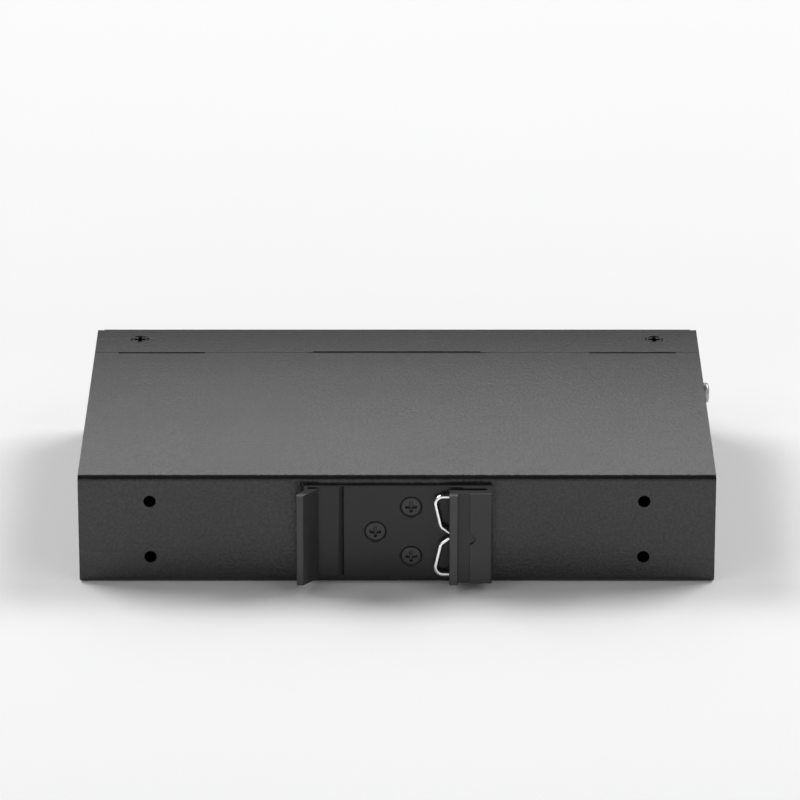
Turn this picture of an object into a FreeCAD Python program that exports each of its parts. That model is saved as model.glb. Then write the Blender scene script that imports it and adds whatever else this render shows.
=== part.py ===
"""Slim media converter in a folded sheet-metal case, with a sprung clip for a 35 mm mounting rail.

Millimetres. The case lies on its large lower side: +X runs along the case, the rear wall with
the rail clip faces -Y, the port panel faces +Y and +Z is up. The origin is the middle of the
underside.
"""
import FreeCAD, Part
import math
import os
from types import SimpleNamespace

import Sketcher
from FreeCAD import Placement, Rotation, Vector

# Driving dimensions, grouped by the piece that they shape
SIZES = {
    # case and sheet metal
    "case_length": 154.0,
    "case_depth": 101.0,
    "case_height": 27.7,
    "sheet_thickness": 0.8,
    "bend_inside": 0.6,
    "sheet_clearance": 0.1,
    "seam_gap": 0.15,
    "strip_width": 17.5,
    "joggle_run": 0.6,
    "tab_end_inset": 6.0,
    "tab_width": 22.0,
    "tab_reach": 13.0,
    "middle_tab_width": 42.7,
    "middle_tab_reach": 7.0,
    "relief_margin": 0.2,
    "lower_edge_round": 0.7,
    "flange_width": 12.0,
    "flange_setback": 4.0,
    # screws that close the case
    "cover_screw_tab_inset": 5.1,
    "cover_screw_inset": 8.1,
    "cover_screw_thread": 2.5,
    "cover_screw_head": 4.1,
    "cover_screw_length": 5.0,
    "countersink_clearance": 0.6,
    "thread_clearance": 0.1,
    "recess_width": 0.9,
    "cover_screw_recess": 2.8,
    # threaded holes of the rear wall, which sit a little above its middle with the clip
    "rear_lift": 0.12,
    "wall_hole_spacing": 119.4,
    "wall_hole_rows": 14.5,
    "wall_hole_diameter": 3.0,
    "nut_across": 5.5,
    "nut_height": 2.0,
    # rail clip: widths from its middle, rises from the rear wall
    "clip_length": 23.3,
    "clip_base": 1.6,
    "clip_reach": 7.3,
    "hook_root": 22.45,
    "hook_shoulder": 3.8,
    "hook_tip": 24.15,
    "hook_tip_width": 1.55,
    "hook_tip_depth": 0.8,
    "nose_place": 19.07,
    "nose_blunt": 0.3,
    "rail_slot": 1.1,
    "undercut": 2.43,
    "groove_place": 14.24,
    "groove_width": 1.44,
    "groove_depth": 0.75,
    "mouth_lip": 12.65,
    "mouth_step": 16.0,
    "slot_lift": 0.7,
    "slot_end": 21.8,
    "rib_width": 2.0,
    "channel_width": 2.95,
    "channel_rise": 5.7,
    "plate_rise": 6.2,
    "block_side": 23.0,
    "block_round": 0.8,
    "clip_edge_round": 0.25,
    "notch_diameter": 2.8,
    # screws that hold the clip
    "clip_screw_thread": 3.0,
    "clip_screw_head": 4.9,
    "clip_screw_length": 5.0,
    "clip_screw_recess": 2.8,
    "clip_sink_clearance": 0.7,
    "clip_pair_place": 3.45,
    "clip_pair_spacing": 12.9,
    "clip_single_place": -5.2,
    # wire spring of the clip
    "spring_wire": 1.1,
    "spring_clearance": 0.1,
    "spring_drop": 0.35,
    "spring_tail_spacing": 20.2,
    "spring_tail_entry": 0.4,
    "spring_bow_place": 8.95,
    "spring_bow_round": 1.8,
    "spring_pinch_place": 10.7,
    "spring_pinch_spacing": 4.5,
    "spring_pinch_round": 1.5,
    "spring_neck_place": 12.65,
    "spring_neck_spacing": 1.7,
    "spring_turn_place": 14.9,
    # earth screw on the end wall
    "earth_inset": 10.4,
    "earth_thread": 3.0,
    "earth_head": 5.2,
    "earth_head_height": 1.9,
    "earth_length": 7.0,
    "earth_recess": 3.1,
    "earth_recess_depth": 1.1,
    "head_chamfer": 0.6,
    "spring_washer_diameter": 5.0,
    "spring_washer_height": 0.7,
    "spring_washer_split": 0.6,
    "washer_diameter": 6.0,
    "washer_height": 0.5,
    # circuit board and its pillars
    "board_height": 7.0,
    "board_thickness": 1.6,
    "board_end_gap": 4.2,
    "board_rear_gap": 4.0,
    "board_front_gap": 0.6,
    "board_corner": 2.0,
    "pillar_end_inset": 7.0,
    "pillar_across": 5.0,
    "pillar_shank": 4.2,
    "pillar_rear_inset": 10.0,
    "pillar_front_inset": 25.5,
    "board_screw_thread": 3.0,
    "board_screw_head": 5.5,
    "board_screw_head_height": 2.0,
    "board_screw_length": 6.0,
    "board_screw_recess": 3.3,
    "board_screw_recess_depth": 1.2,
    # openings of the port panel
    "panel_clearance": 0.2,
    # copper network jack
    "jack_place": -8.0,
    "jack_width": 16.0,
    "jack_height": 13.4,
    "jack_depth": 21.3,
    "jack_proud": 0.6,
    "jack_shell": 0.3,
    "jack_fit": 0.05,
    "port_width": 11.8,
    "port_height": 7.0,
    "port_depth": 14.0,
    "latch_width": 6.3,
    "latch_height": 2.4,
    "latch_lift": 1.2,
    "contact_pitch": 1.02,
    "contact_width": 0.45,
    "contact_drop": 2.0,
    # slot for the fibre module
    "cage_end_inset": 32.0,
    "cage_width": 14.2,
    "cage_height": 9.8,
    "cage_depth": 48.5,
    "cage_proud": 0.8,
    "cage_shell": 0.3,
    "cage_floor_window": 12.0,
    "fibre_socket_width": 11.0,
    "fibre_socket_height": 5.6,
    "fibre_socket_depth": 9.0,
    "fibre_card_width": 9.0,
    "fibre_card_gap": 1.3,
    "fibre_card_depth": 5.0,
    # indicators
    "indicator_pitch": 4.0,
    "indicator_diameter": 2.9,
    "indicator_lift": 4.4,
    "indicator_proud": 0.8,
    "pipe_setback": 5.0,
    "pipe_depth": 4.0,
    "pipe_height": 6.4,
    "pipe_margin": 2.4,
    "led_length": 1.6,
    "led_width": 1.2,
    "led_height": 0.8,
    "led_room": 0.4,
    # pluggable power terminal
    "terminal_end_inset": 29.5,
    "terminal_pitch": 5.08,
    "terminal_margin": 2.5,
    "header_height": 8.6,
    "header_depth": 12.0,
    "header_wall": 1.0,
    "header_cavity": 8.4,
    "header_proud": 0.4,
    "pin_width": 1.0,
    "pin_tip_setback": 2.0,
    "pin_fit": 0.1,
    "plug_fit": 0.25,
    "plug_height": 12.6,
    "plug_reach": 9.6,
    "plug_chamfer": 1.0,
    "pole_groove_width": 0.5,
    "pole_groove_depth": 0.35,
    "wire_entry": 3.4,
    "wire_entry_lift": 2.0,
    "wire_entry_depth": 7.0,
    "clamp_wall": 0.4,
    "clamp_setback": 1.0,
    "clamp_screw": 3.4,
    "clamp_screw_setback": 5.4,
    "clamp_screw_sink": 0.6,
    "slot_width": 0.6,
    "slot_depth": 0.8,
    # parts on the board
    "chip_place": -20.0,
    "chip_row": 2.0,
    "chip_width": 14.0,
    "chip_height": 1.4,
    "lead_reach": 1.0,
    "lead_thickness": 0.2,
    "sink_height": 7.0,
    "sink_base": 2.0,
    "sink_fin": 1.0,
    "line_place": -8.0,
    "line_row": 18.0,
    "line_length": 16.0,
    "line_width": 7.0,
    "line_height": 5.8,
    "core_end_inset": 34.0,
    "core_row": 0.0,
    "core_width": 20.0,
    "core_depth": 6.0,
    "core_height": 14.0,
    "core_leg": 2.6,
    "core_centre_leg": 5.0,
    "core_yoke": 2.6,
    "coil_gap": 0.15,
    "coil_build": 4.0,
    "capacitor_end_inset": 16.0,
    "capacitor_row": 9.0,
    "capacitor_pitch": 11.0,
    "capacitor_diameter": 8.0,
    "capacitor_height": 12.0,
    "capacitor_chamfer": 0.5,
    "inductor_end_inset": 54.0,
    "inductor_row": 4.0,
    "inductor_width": 12.0,
    "inductor_height": 6.0,
    "inductor_corner": 2.5,
    "crystal_place": -36.0,
    "crystal_row": -14.0,
    "crystal_length": 11.0,
    "crystal_width": 4.6,
    "crystal_height": 3.6,
    "fuse_end_inset": 48.0,
    "fuse_row": 26.0,
    "fuse_length": 10.0,
    "fuse_width": 3.0,
    "fuse_cap": 2.0,
    "fuse_step": 0.3,
}

INDICATORS = 4
CONTACTS = 8
POLES = 6
CAPACITORS = 3
SINK_SLOTS = 4
SHEET = "Sizes"
NEAR = 1e-4
CUT_MARGIN = 1.0
NEARLY_HALF = 0.45

UPRIGHT = Rotation()
UPSIDE_DOWN = Rotation(Vector(1, 0, 0), 180)
FACING_REAR = Rotation(Vector(1, 0, 0), 90)
FACING_FRONT = Rotation(Vector(1, 0, 0), -90)
FACING_RIGHT = Rotation(Vector(0, 1, 0), 90)

PLANE_SIDE = {"XY_Plane": 1, "XZ_Plane": -1, "YZ_Plane": 1}

doc = FreeCAD.newDocument("MediaConverter")


class Size:
    """A length together with the spreadsheet expression that gives it."""

    def __init__(self, value, text):
        self.value = value
        self.text = text

    def __neg__(self):
        return Size(-self.value, f"(-{self.text})")

    def __add__(self, other):
        other = as_size(other)
        return Size(self.value + other.value, f"({self.text} + {other.text})")

    def __sub__(self, other):
        other = as_size(other)
        return Size(self.value - other.value, f"({self.text} - {other.text})")

    def __mul__(self, other):
        other = as_size(other)
        return Size(self.value * other.value, f"({self.text} * {other.text})")

    def __truediv__(self, other):
        other = as_size(other)
        return Size(self.value / other.value, f"({self.text} / {other.text})")


def as_size(length):
    """Give a plain number the form of a Size."""
    if isinstance(length, Size):
        return length
    return Size(float(length), f"({float(length)})")


def write_sheet():
    """Put every driving dimension in a named cell and return them as Sizes."""
    sheet = doc.addObject("Spreadsheet::Sheet", SHEET)
    for row, (name, value) in enumerate(SIZES.items(), 1):
        sheet.set(f"A{row}", name)
        sheet.set(f"B{row}", str(value))
        sheet.setAlias(f"B{row}", name)
    doc.recompute()
    return SimpleNamespace(**{name: Size(sheet.get(name), f"{SHEET}.{name}") for name in SIZES})


s = write_sheet()

# Places that several pieces share
half = s.case_length / 2
back = -s.case_depth / 2
front = s.case_depth / 2
top = s.case_height
middle = s.case_height / 2
rear_level = middle + s.rear_lift
wall = s.sheet_thickness
bend_outside = s.sheet_thickness + s.bend_inside
inner_low = wall + s.sheet_clearance
inner_high = top - inner_low
seam = front - s.strip_width
cover_edge = seam - s.seam_gap / 2
strip_edge = seam + s.seam_gap / 2
tab_high = half - s.tab_end_inset
tab_low = tab_high - s.tab_width
cover_screw_row = front - s.cover_screw_inset
flange_top = inner_low + wall
flange_front = seam - s.flange_setback
board_top = s.board_height + s.board_thickness
board_back = back + wall + s.board_rear_gap
board_front = front - wall - s.board_front_gap
half_board = half - wall - s.board_end_gap
panel_inside = front - wall
pillar_rows = (back + s.pillar_rear_inset, front - s.pillar_front_inset)
slot_floor = s.clip_base + s.slot_lift
slot_top = slot_floor + s.spring_wire + s.spring_clearance * 2
spring_rise = slot_floor + s.spring_clearance + s.spring_wire / 2
jack_front = front + s.jack_proud
cage_front = front + s.cage_proud
header_front = front + s.header_proud
header_back = header_front - s.header_depth
header_half = s.terminal_pitch * (POLES / 2) + s.terminal_margin
terminal_place = half - s.terminal_end_inset
cage_place = s.cage_end_inset - half
indicator_middle = (s.jack_place + s.jack_width / 2 + terminal_place - header_half) / 2
pin_level = board_top + s.header_height / 2
plug_back = header_front + s.plug_fit
plug_front = front + s.plug_reach
plug_low = board_top
plug_high = plug_low + s.plug_height
entry_low = plug_low + s.wire_entry_lift
entry_high = entry_low + s.wire_entry
clip_screw_spots = [
    (s.clip_pair_place, rear_level + s.clip_pair_spacing / 2),
    (s.clip_pair_place, rear_level - s.clip_pair_spacing / 2),
    (s.clip_single_place, rear_level),
]
wall_hole_spots = [
    (s.wall_hole_spacing * (side / 2), rear_level + s.wall_hole_rows * (row / 2))
    for side in (-1, 1)
    for row in (-1, 1)
]
cover_screw_places = [(tab_high - s.cover_screw_tab_inset) * side for side in (-1, 1)]
pillar_spots = [((half - s.pillar_end_inset) * side, row) for side in (-1, 1) for row in pillar_rows]


def row_of(count, pitch, centre):
    """Places of a row of like pieces about its centre."""
    return [centre + pitch * (index - (count - 1) / 2) for index in range(count)]


indicator_places = row_of(INDICATORS, s.indicator_pitch, indicator_middle)
pole_places = row_of(POLES, s.terminal_pitch, terminal_place)


def bind(item, prop, length):
    """Drive a property from the spreadsheet."""
    item.setExpression(prop, as_size(length).text)


def bind_spot(item, spot, prop="Placement.Base"):
    """Drive the three coordinates of a place from the spreadsheet."""
    for axis, length in zip("xyz", spot):
        bind(item, f"{prop}.{axis}", length)


def new_body(label):
    """Start a body whose label names its file."""
    body = doc.addObject("PartDesign::Body", label)
    body.Label = label
    return body


def new_sketch(body, plane, offset=0):
    """Start a sketch parallel to one of the body's origin planes."""
    support = next(item for item in body.Origin.OriginFeatures if item.Role == plane)
    sketch = body.newObject("Sketcher::SketchObject", "Sketch")
    sketch.AttachmentSupport = [(support, "")]
    sketch.MapMode = "FlatFace"
    bind(sketch, "AttachmentOffset.Base.z", as_size(offset) * PLANE_SIDE[plane])
    return sketch


def hold_point(sketch, geometry, point, spot):
    """Tie a sketch point to its two coordinates."""
    for kind, length in zip(("DistanceX", "DistanceY"), spot):
        number = sketch.addConstraint(Sketcher.Constraint(kind, -1, 1, geometry, point, length.value))
        bind(sketch, f"Constraints[{number}]", length)


def arc_through(start, via, end):
    """Counter-clockwise arc over three points, and whether it runs from end to start."""
    centre = Part.Arc(start, via, end).toShape().Curve.Center
    angles = [math.atan2(spot.y - centre.y, spot.x - centre.x) for spot in (start, via, end)]
    swept = (angles[2] - angles[0]) % math.tau
    flipped = (angles[1] - angles[0]) % math.tau > swept
    first, last = (angles[2], angles[0]) if flipped else (angles[0], angles[2])
    circle = Part.Circle(centre, Vector(0, 0, 1), (start - centre).Length)
    return Part.ArcOfCircle(circle, first, last if last > first else last + math.tau), flipped


def loop(sketch, corners, arcs=None):
    """Draw a closed outline; arcs maps a corner to the middle and radius of the arc after it."""
    arcs = arcs or {}
    corners = [(as_size(x), as_size(y)) for x, y in corners]
    spots = [Vector(x.value, y.value, 0) for x, y in corners]
    ends = []
    for index, start in enumerate(spots):
        end = spots[(index + 1) % len(spots)]
        if index in arcs:
            via_x, via_y, radius = arcs[index]
            curve, flipped = arc_through(start, Vector(via_x.value, via_y.value, 0), end)
            geometry = sketch.addGeometry(curve, False)
            number = sketch.addConstraint(Sketcher.Constraint("Radius", geometry, radius.value))
            bind(sketch, f"Constraints[{number}]", radius)
        else:
            flipped = False
            geometry = sketch.addGeometry(Part.LineSegment(start, end), False)
        ends.append((geometry, 2, 1) if flipped else (geometry, 1, 2))
    for index, (geometry, first, last) in enumerate(ends):
        following = ends[(index + 1) % len(ends)]
        sketch.addConstraint(Sketcher.Constraint("Coincident", geometry, last, following[0], following[1]))
        hold_point(sketch, geometry, first, corners[index])


def rectangle(sketch, low_x, high_x, low_y, high_y):
    """Draw an upright rectangle."""
    loop(sketch, [(low_x, low_y), (high_x, low_y), (high_x, high_y), (low_x, high_y)])


def circle(sketch, x, y, diameter):
    """Draw a circle."""
    x, y = as_size(x), as_size(y)
    disc = Part.Circle(Vector(x.value, y.value, 0), Vector(0, 0, 1), diameter.value / 2)
    geometry = sketch.addGeometry(disc, False)
    number = sketch.addConstraint(Sketcher.Constraint("Diameter", geometry, diameter.value))
    bind(sketch, f"Constraints[{number}]", diameter)
    hold_point(sketch, geometry, 3, (x, y))


def across(body, kind, plane, low, high):
    """Add a Pad or Pocket from low to high along a plane's axis and return its empty sketch."""
    low, high = as_size(low), as_size(high)
    sketch = new_sketch(body, plane, (low + high) / 2)
    feature = body.newObject(f"PartDesign::{kind}", kind)
    feature.Profile = sketch
    feature.SideType = "Symmetric"
    bind(feature, "Length", high - low)
    return sketch


def add(body, plane, low, high):
    """Material between two levels, in the outline drawn on the returned sketch."""
    return across(body, "Pad", plane, low, high)


def cut(body, plane, low, high):
    """A cut between two levels, in the outline drawn on the returned sketch."""
    return across(body, "Pocket", plane, low, high)


def turn(body, corners):
    """Revolve a half section, given as radius and height, about the body's Z axis."""
    sketch = new_sketch(body, "XZ_Plane")
    loop(sketch, corners)
    feature = body.newObject("PartDesign::Revolution", "Revolution")
    feature.Profile = sketch
    feature.ReferenceAxis = (sketch, ["V_Axis"])
    feature.Angle = 360


def mirror_sides(body):
    """Repeat the last feature on the other side of the case's middle."""
    source = body.Tip
    mirrored = body.newObject("PartDesign::Mirrored", "Mirrored")
    mirrored.Originals = [source]
    plane = next(item for item in body.Origin.OriginFeatures if item.Role == "YZ_Plane")
    mirrored.MirrorPlane = (plane, [""])
    body.Tip = mirrored


def straight_edges(shape, places):
    """Names of the straight edges that lie wholly at one of the given pairs of coordinates."""
    names = []
    for number, edge in enumerate(shape.Edges, 1):
        points = [vertex.Point for vertex in edge.Vertexes]
        if len(points) != 2 or edge.Curve.TypeId != "Part::GeomLine":
            continue
        for place in places:
            if all(abs(getattr(point, axis) - length.value) < NEAR
                   for point in points for axis, length in place.items()):
                names.append(f"Edge{number}")
    return names


def round_edges(body, radius, *places, before=None):
    """Round the edges at the given pairs of coordinates; before=(axis, limit) drops those past it."""
    doc.recompute()
    shape = body.Tip.Shape
    names = straight_edges(shape, places)
    if before:
        axis, limit = before
        names = [name for name in names
                 if getattr(shape.getElement(name).CenterOfMass, axis) < limit.value]
    if not names:
        raise ValueError(f"{body.Label}: no edge to round at {places}")
    base = body.Tip
    fillet = body.newObject("PartDesign::Fillet", "Fillet")
    fillet.Base = (base, names)
    bind(fillet, "Radius", radius)


def countersink(body, spot, rotation, wide, narrow, depth):
    """Sink a cone into a face: spot is its wide end and rotation turns +Z out of the face."""
    cone = body.newObject("PartDesign::SubtractiveCone", "Countersink")
    cone.Placement = Placement(Vector(), rotation)
    inward = rotation.multVec(Vector(0, 0, -1))
    base = [as_size(length) + depth * step for length, step in zip(spot, inward)]
    bind_spot(cone, base)
    bind(cone, "Radius1", narrow / 2)
    bind(cone, "Radius2", wide / 2)
    bind(cone, "Height", depth)


def hexagon(sketch, across):
    """Draw a hexagon about the origin, given its width across flats."""
    corner = across / math.sqrt(3)
    turns = [math.tau * index / 6 for index in range(6)]
    loop(sketch, [(corner * round(math.cos(a), 9), corner * round(math.sin(a), 9)) for a in turns])


def cross_recess(body, level, depth, span):
    """Cut a cross into a screw head, down from the level of its top."""
    half_width = s.recess_width / 2
    reach = span / 2
    sketch = cut(body, "XY_Plane", level - depth, level)
    loop(sketch, [
        (half_width, half_width), (reach, half_width), (reach, -half_width), (half_width, -half_width),
        (half_width, -reach), (-half_width, -reach), (-half_width, -half_width), (-reach, -half_width),
        (-reach, half_width), (-half_width, half_width), (-half_width, reach), (half_width, reach),
    ])


def block(name, low, high):
    """A plain box between two corners."""
    box = doc.addObject("Part::Box", name)
    bind_spot(box, low)
    for prop, first, last in zip(("Length", "Width", "Height"), low, high):
        bind(box, prop, as_size(last) - first)
    return box


def rod(name, spot, diameter, length, rotation=UPRIGHT):
    """A cylinder whose axis starts at the spot and runs along the turned +Z."""
    cylinder = doc.addObject("Part::Cylinder", name)
    cylinder.Placement = Placement(Vector(), rotation)
    bind_spot(cylinder, spot)
    bind(cylinder, "Radius", diameter / 2)
    bind(cylinder, "Height", length)
    return cylinder


def joined(label, shapes):
    """One solid from shapes that touch."""
    fuse = doc.addObject("Part::MultiFuse", label)
    fuse.Shapes = shapes
    fuse.Label = label
    return fuse


def carved(label, base, tools):
    """A shape less one or more others."""
    result = doc.addObject("Part::Cut", label)
    result.Base = base
    result.Tool = tools[0] if len(tools) == 1 else joined(f"{label}_tools", tools)
    result.Label = label
    return result


def copies(label, pattern, spots, rotations=None):
    """A group of separate like solids, one at each spot."""
    rotations = rotations or [UPRIGHT] * len(spots)
    links = []
    for spot, rotation in zip(spots, rotations):
        link = doc.addObject("App::Link", f"{label}_copy")
        link.LinkedObject = pattern
        link.Placement = Placement(Vector(), rotation)
        bind_spot(link, spot)
        links.append(link)
    group = doc.addObject("Part::Compound", label)
    group.Links = links
    group.Label = label
    return group


def joggled_tab(sketch, start, bend_end, tip):
    """Sections of the upper and lower tabs that step under the neighbouring sheet."""
    under = top - inner_low
    upper = [
        (start, top), (bend_end, under), (tip, under),
        (tip, under - wall), (bend_end, under - wall), (start, top - wall),
    ]
    loop(sketch, upper)
    loop(sketch, [(y, top - z) for y, z in upper])


def channel_section(sketch, open_edge, closed_edge, inside):
    """Section of a sheet channel that opens along Y."""
    loop(sketch, [
        (open_edge, top), (closed_edge, top), (closed_edge, 0), (open_edge, 0),
        (open_edge, wall), (inside, wall), (inside, top - wall), (open_edge, top - wall),
    ])


def make_cover():
    """Upper side, rear wall and lower side folded from one sheet."""
    body = new_body("cover")
    channel_section(add(body, "YZ_Plane", -half, half), cover_edge, back, back + wall)
    rear_inside = back + wall
    round_edges(body, bend_outside, {"y": back, "z": top}, {"y": back, "z": as_size(0)})
    round_edges(body, s.bend_inside, {"y": rear_inside, "z": top - wall}, {"y": rear_inside, "z": wall})
    joggle_start = cover_edge - s.joggle_run
    room = cut(body, "XY_Plane", 0, top)
    rectangle(room, tab_low, tab_high, joggle_start, cover_edge)
    rectangle(room, -tab_high, -tab_low, joggle_start, cover_edge)
    tab = add(body, "YZ_Plane", tab_low, tab_high)
    joggled_tab(tab, joggle_start, cover_edge, seam + s.tab_reach)
    mirror_sides(body)
    threads = cut(body, "XY_Plane", 0, top)
    for place in cover_screw_places:
        circle(threads, place, cover_screw_row, s.cover_screw_thread + s.thread_clearance)
    rear = cut(body, "XZ_Plane", back, rear_inside)
    for x, z in wall_hole_spots:
        circle(rear, x, z, s.wall_hole_diameter)
    for x, z in clip_screw_spots:
        circle(rear, x, z, s.clip_screw_thread + s.thread_clearance)
    corners = cut(body, "XZ_Plane", back, cover_edge)
    radius = s.lower_edge_round
    diagonal = radius * (1 - math.sqrt(0.5))
    for side in (-1, 1):
        edge = half * side
        inward = radius * side
        loop(corners, [
            (edge, radius), (edge - inward, 0), (edge - inward, -CUT_MARGIN),
            (edge + CUT_MARGIN * side, -CUT_MARGIN), (edge + CUT_MARGIN * side, radius),
        ], {0: (edge - diagonal * side, diagonal, radius)})
    return body


def make_front_chassis():
    """Port panel, end walls, strips and board flanges folded from one sheet."""
    body = new_body("front_chassis")
    end_back = back + inner_low
    channel_section(add(body, "YZ_Plane", -half, half), strip_edge, front, panel_inside)
    round_edges(body, bend_outside, {"y": front, "z": top}, {"y": front, "z": as_size(0)})
    round_edges(body, s.bend_inside, {"y": panel_inside, "z": top - wall}, {"y": panel_inside, "z": wall})
    ends = add(body, "XY_Plane", inner_low, inner_high)
    rectangle(ends, half - wall, half, end_back, front)
    rectangle(ends, -half, wall - half, end_back, front)
    flanges = add(body, "XY_Plane", inner_low, flange_top)
    rectangle(flanges, half - s.flange_width, half, end_back, flange_front)
    rectangle(flanges, -half, s.flange_width - half, end_back, flange_front)
    rear_corners = cut(body, "YZ_Plane", -half, half)
    for level, inward in ((inner_low, s.bend_inside), (inner_high, -s.bend_inside)):
        loop(rear_corners, [(end_back, level), (end_back + s.bend_inside, level), (end_back, level + inward)])
    relief = bend_outside + s.relief_margin
    corners = cut(body, "XZ_Plane", front - relief, front)
    for low, high in ((half - relief, half), (-half, relief - half)):
        rectangle(corners, low, high, 0, relief)
        rectangle(corners, low, high, top - relief, top)
    notches = cut(body, "XY_Plane", inner_low, inner_low + relief)
    rectangle(notches, half - relief, half, flange_front, flange_front + relief)
    rectangle(notches, -half, relief - half, flange_front, flange_front + relief)
    round_edges(body, bend_outside, {"x": half, "y": front}, {"x": -half, "y": front})
    round_edges(body, s.bend_inside, {"x": half - wall, "y": panel_inside},
                {"x": wall - half, "y": panel_inside})
    round_edges(body, bend_outside, {"x": half, "z": inner_low}, {"x": -half, "z": inner_low},
                before=("y", flange_front))
    round_edges(body, s.bend_inside, {"x": half - wall, "z": flange_top}, {"x": wall - half, "z": flange_top})
    joggle_start = strip_edge + s.joggle_run
    half_tab = s.middle_tab_width / 2
    room = cut(body, "XY_Plane", 0, top)
    rectangle(room, -half_tab, half_tab, strip_edge, joggle_start)
    tab = add(body, "YZ_Plane", -half_tab, half_tab)
    joggled_tab(tab, joggle_start, strip_edge, seam - s.middle_tab_reach)
    sink_wide = s.cover_screw_head + s.countersink_clearance
    sink_narrow = s.cover_screw_thread + s.countersink_clearance
    for place in cover_screw_places:
        countersink(body, (place, cover_screw_row, top), UPRIGHT, sink_wide, sink_narrow, wall)
        countersink(body, (place, cover_screw_row, 0), UPSIDE_DOWN, sink_wide, sink_narrow, wall)
    shanks = cut(body, "XY_Plane", inner_low, flange_top)
    for x, y in pillar_spots:
        circle(shanks, x, y, s.pillar_shank + s.thread_clearance)
    earth = cut(body, "YZ_Plane", half - wall, half)
    circle(earth, front - s.earth_inset, middle, s.earth_thread + s.thread_clearance)
    gap = s.panel_clearance
    ports = cut(body, "XZ_Plane", panel_inside, front)
    openings = (
        (s.jack_place, s.jack_width / 2, s.jack_height),
        (cage_place, s.cage_width / 2, s.cage_height),
        (terminal_place, header_half, s.header_height),
    )
    for place, half_width, height in openings:
        rectangle(ports, place - half_width - gap, place + half_width + gap, board_top - gap,
                  board_top + height + gap)
    for place in indicator_places:
        circle(ports, place, board_top + s.indicator_lift, s.indicator_diameter + gap)
    return body


def clip_section(sketch):
    """Extruded section of the rail clip: hook on the left, spring block on the right."""
    rises = [
        (-s.hook_root, as_size(0)),
        (-s.hook_root, s.hook_shoulder),
        (-s.hook_tip, s.clip_reach - s.hook_tip_depth),
        (-s.hook_tip, s.clip_reach),
        (s.hook_tip_width - s.hook_tip, s.clip_reach),
        (-s.nose_place, s.clip_base + s.rail_slot + s.nose_blunt),
        (-s.nose_place, s.clip_base + s.rail_slot),
        (-s.nose_place - s.undercut, s.clip_base + s.rail_slot),
        (-s.nose_place - s.undercut, s.clip_base),
        (-s.groove_place, s.clip_base),
        (s.groove_width - s.groove_place, s.clip_base - s.groove_depth),
        (s.groove_width - s.groove_place, s.clip_base),
        (s.mouth_step, s.clip_base),
        (s.mouth_step, slot_floor),
        (s.slot_end, slot_floor),
        (s.slot_end, slot_top),
        (s.mouth_lip, slot_top),
        (s.mouth_lip, s.clip_reach),
        (s.mouth_lip + s.rib_width, s.clip_reach),
        (s.mouth_lip + s.rib_width, s.channel_rise),
        (s.mouth_lip + s.rib_width + s.channel_width, s.channel_rise),
        (s.mouth_lip + s.rib_width + s.channel_width, s.plate_rise),
        (s.block_side, s.plate_rise),
        (s.block_side, as_size(0)),
    ]
    loop(sketch, [(x, back - rise) for x, rise in rises])


def make_din_clip():
    """Rail clip, cut from an extruded bar, with countersunk holes."""
    body = new_body("din_clip")
    low = rear_level - s.clip_length / 2
    clip_section(add(body, "XY_Plane", low, low + s.clip_length))
    slot_round = (slot_top - slot_floor) * NEARLY_HALF
    round_edges(body, slot_round, {"x": s.slot_end, "y": back - slot_floor},
                {"x": s.slot_end, "y": back - slot_top})
    round_edges(body, s.block_round, {"x": s.block_side, "y": back - s.plate_rise})
    tip = back - s.clip_reach
    round_edges(
        body, s.clip_edge_round,
        {"x": -s.hook_tip, "y": tip}, {"x": -s.hook_tip, "y": tip + s.hook_tip_depth},
        {"x": s.hook_tip_width - s.hook_tip, "y": tip},
        {"x": s.mouth_lip, "y": tip}, {"x": s.mouth_lip + s.rib_width, "y": tip})
    base_face = back - s.clip_base
    holes = cut(body, "XZ_Plane", base_face, back)
    narrow = s.clip_screw_thread + s.clip_sink_clearance
    wide = s.clip_screw_head + s.clip_sink_clearance
    for x, z in clip_screw_spots:
        circle(holes, x, z, narrow)
    for x, z in clip_screw_spots:
        countersink(body, (x, base_face, z), FACING_REAR, wide, narrow, (wide - narrow) / 2)
    notch = cut(body, "XZ_Plane", back - s.plate_rise, back - s.channel_rise)
    circle(notch, s.mouth_lip + s.rib_width + s.channel_width, rear_level, s.notch_diameter)
    return body


def countersunk_screw(name, head, thread, length, cone_height, recess):
    """Flat-headed screw, its top at the origin and its thread along -Z."""
    body = new_body(name)
    turn(body, [(0, 0), (head / 2, 0), (thread / 2, -cone_height), (thread / 2, -length), (0, -length)])
    cross_recess(body, as_size(0), cone_height / 2, recess)
    return body


def pan_screw(name, head, head_height, thread, length):
    """Screw with a raised head, its underside at the origin and its thread along -Z."""
    body = new_body(name)
    chamfer = s.head_chamfer
    turn(body, [
        (0, -length), (thread / 2, -length), (thread / 2, 0), (head / 2, 0),
        (head / 2, head_height - chamfer), (head / 2 - chamfer, head_height), (0, head_height),
    ])
    return body


def ring(name, outer, inner, height):
    """Flat ring standing on the origin."""
    body = new_body(name)
    turn(body, [(inner / 2, 0), (outer / 2, 0), (outer / 2, height), (inner / 2, height)])
    return body


def hex_nut(name, bore, height):
    """Hexagon nut standing on the origin."""
    body = new_body(name)
    outline = add(body, "XY_Plane", 0, height)
    hexagon(outline, s.nut_across)
    circle(outline, 0, 0, bore)
    return body


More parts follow.
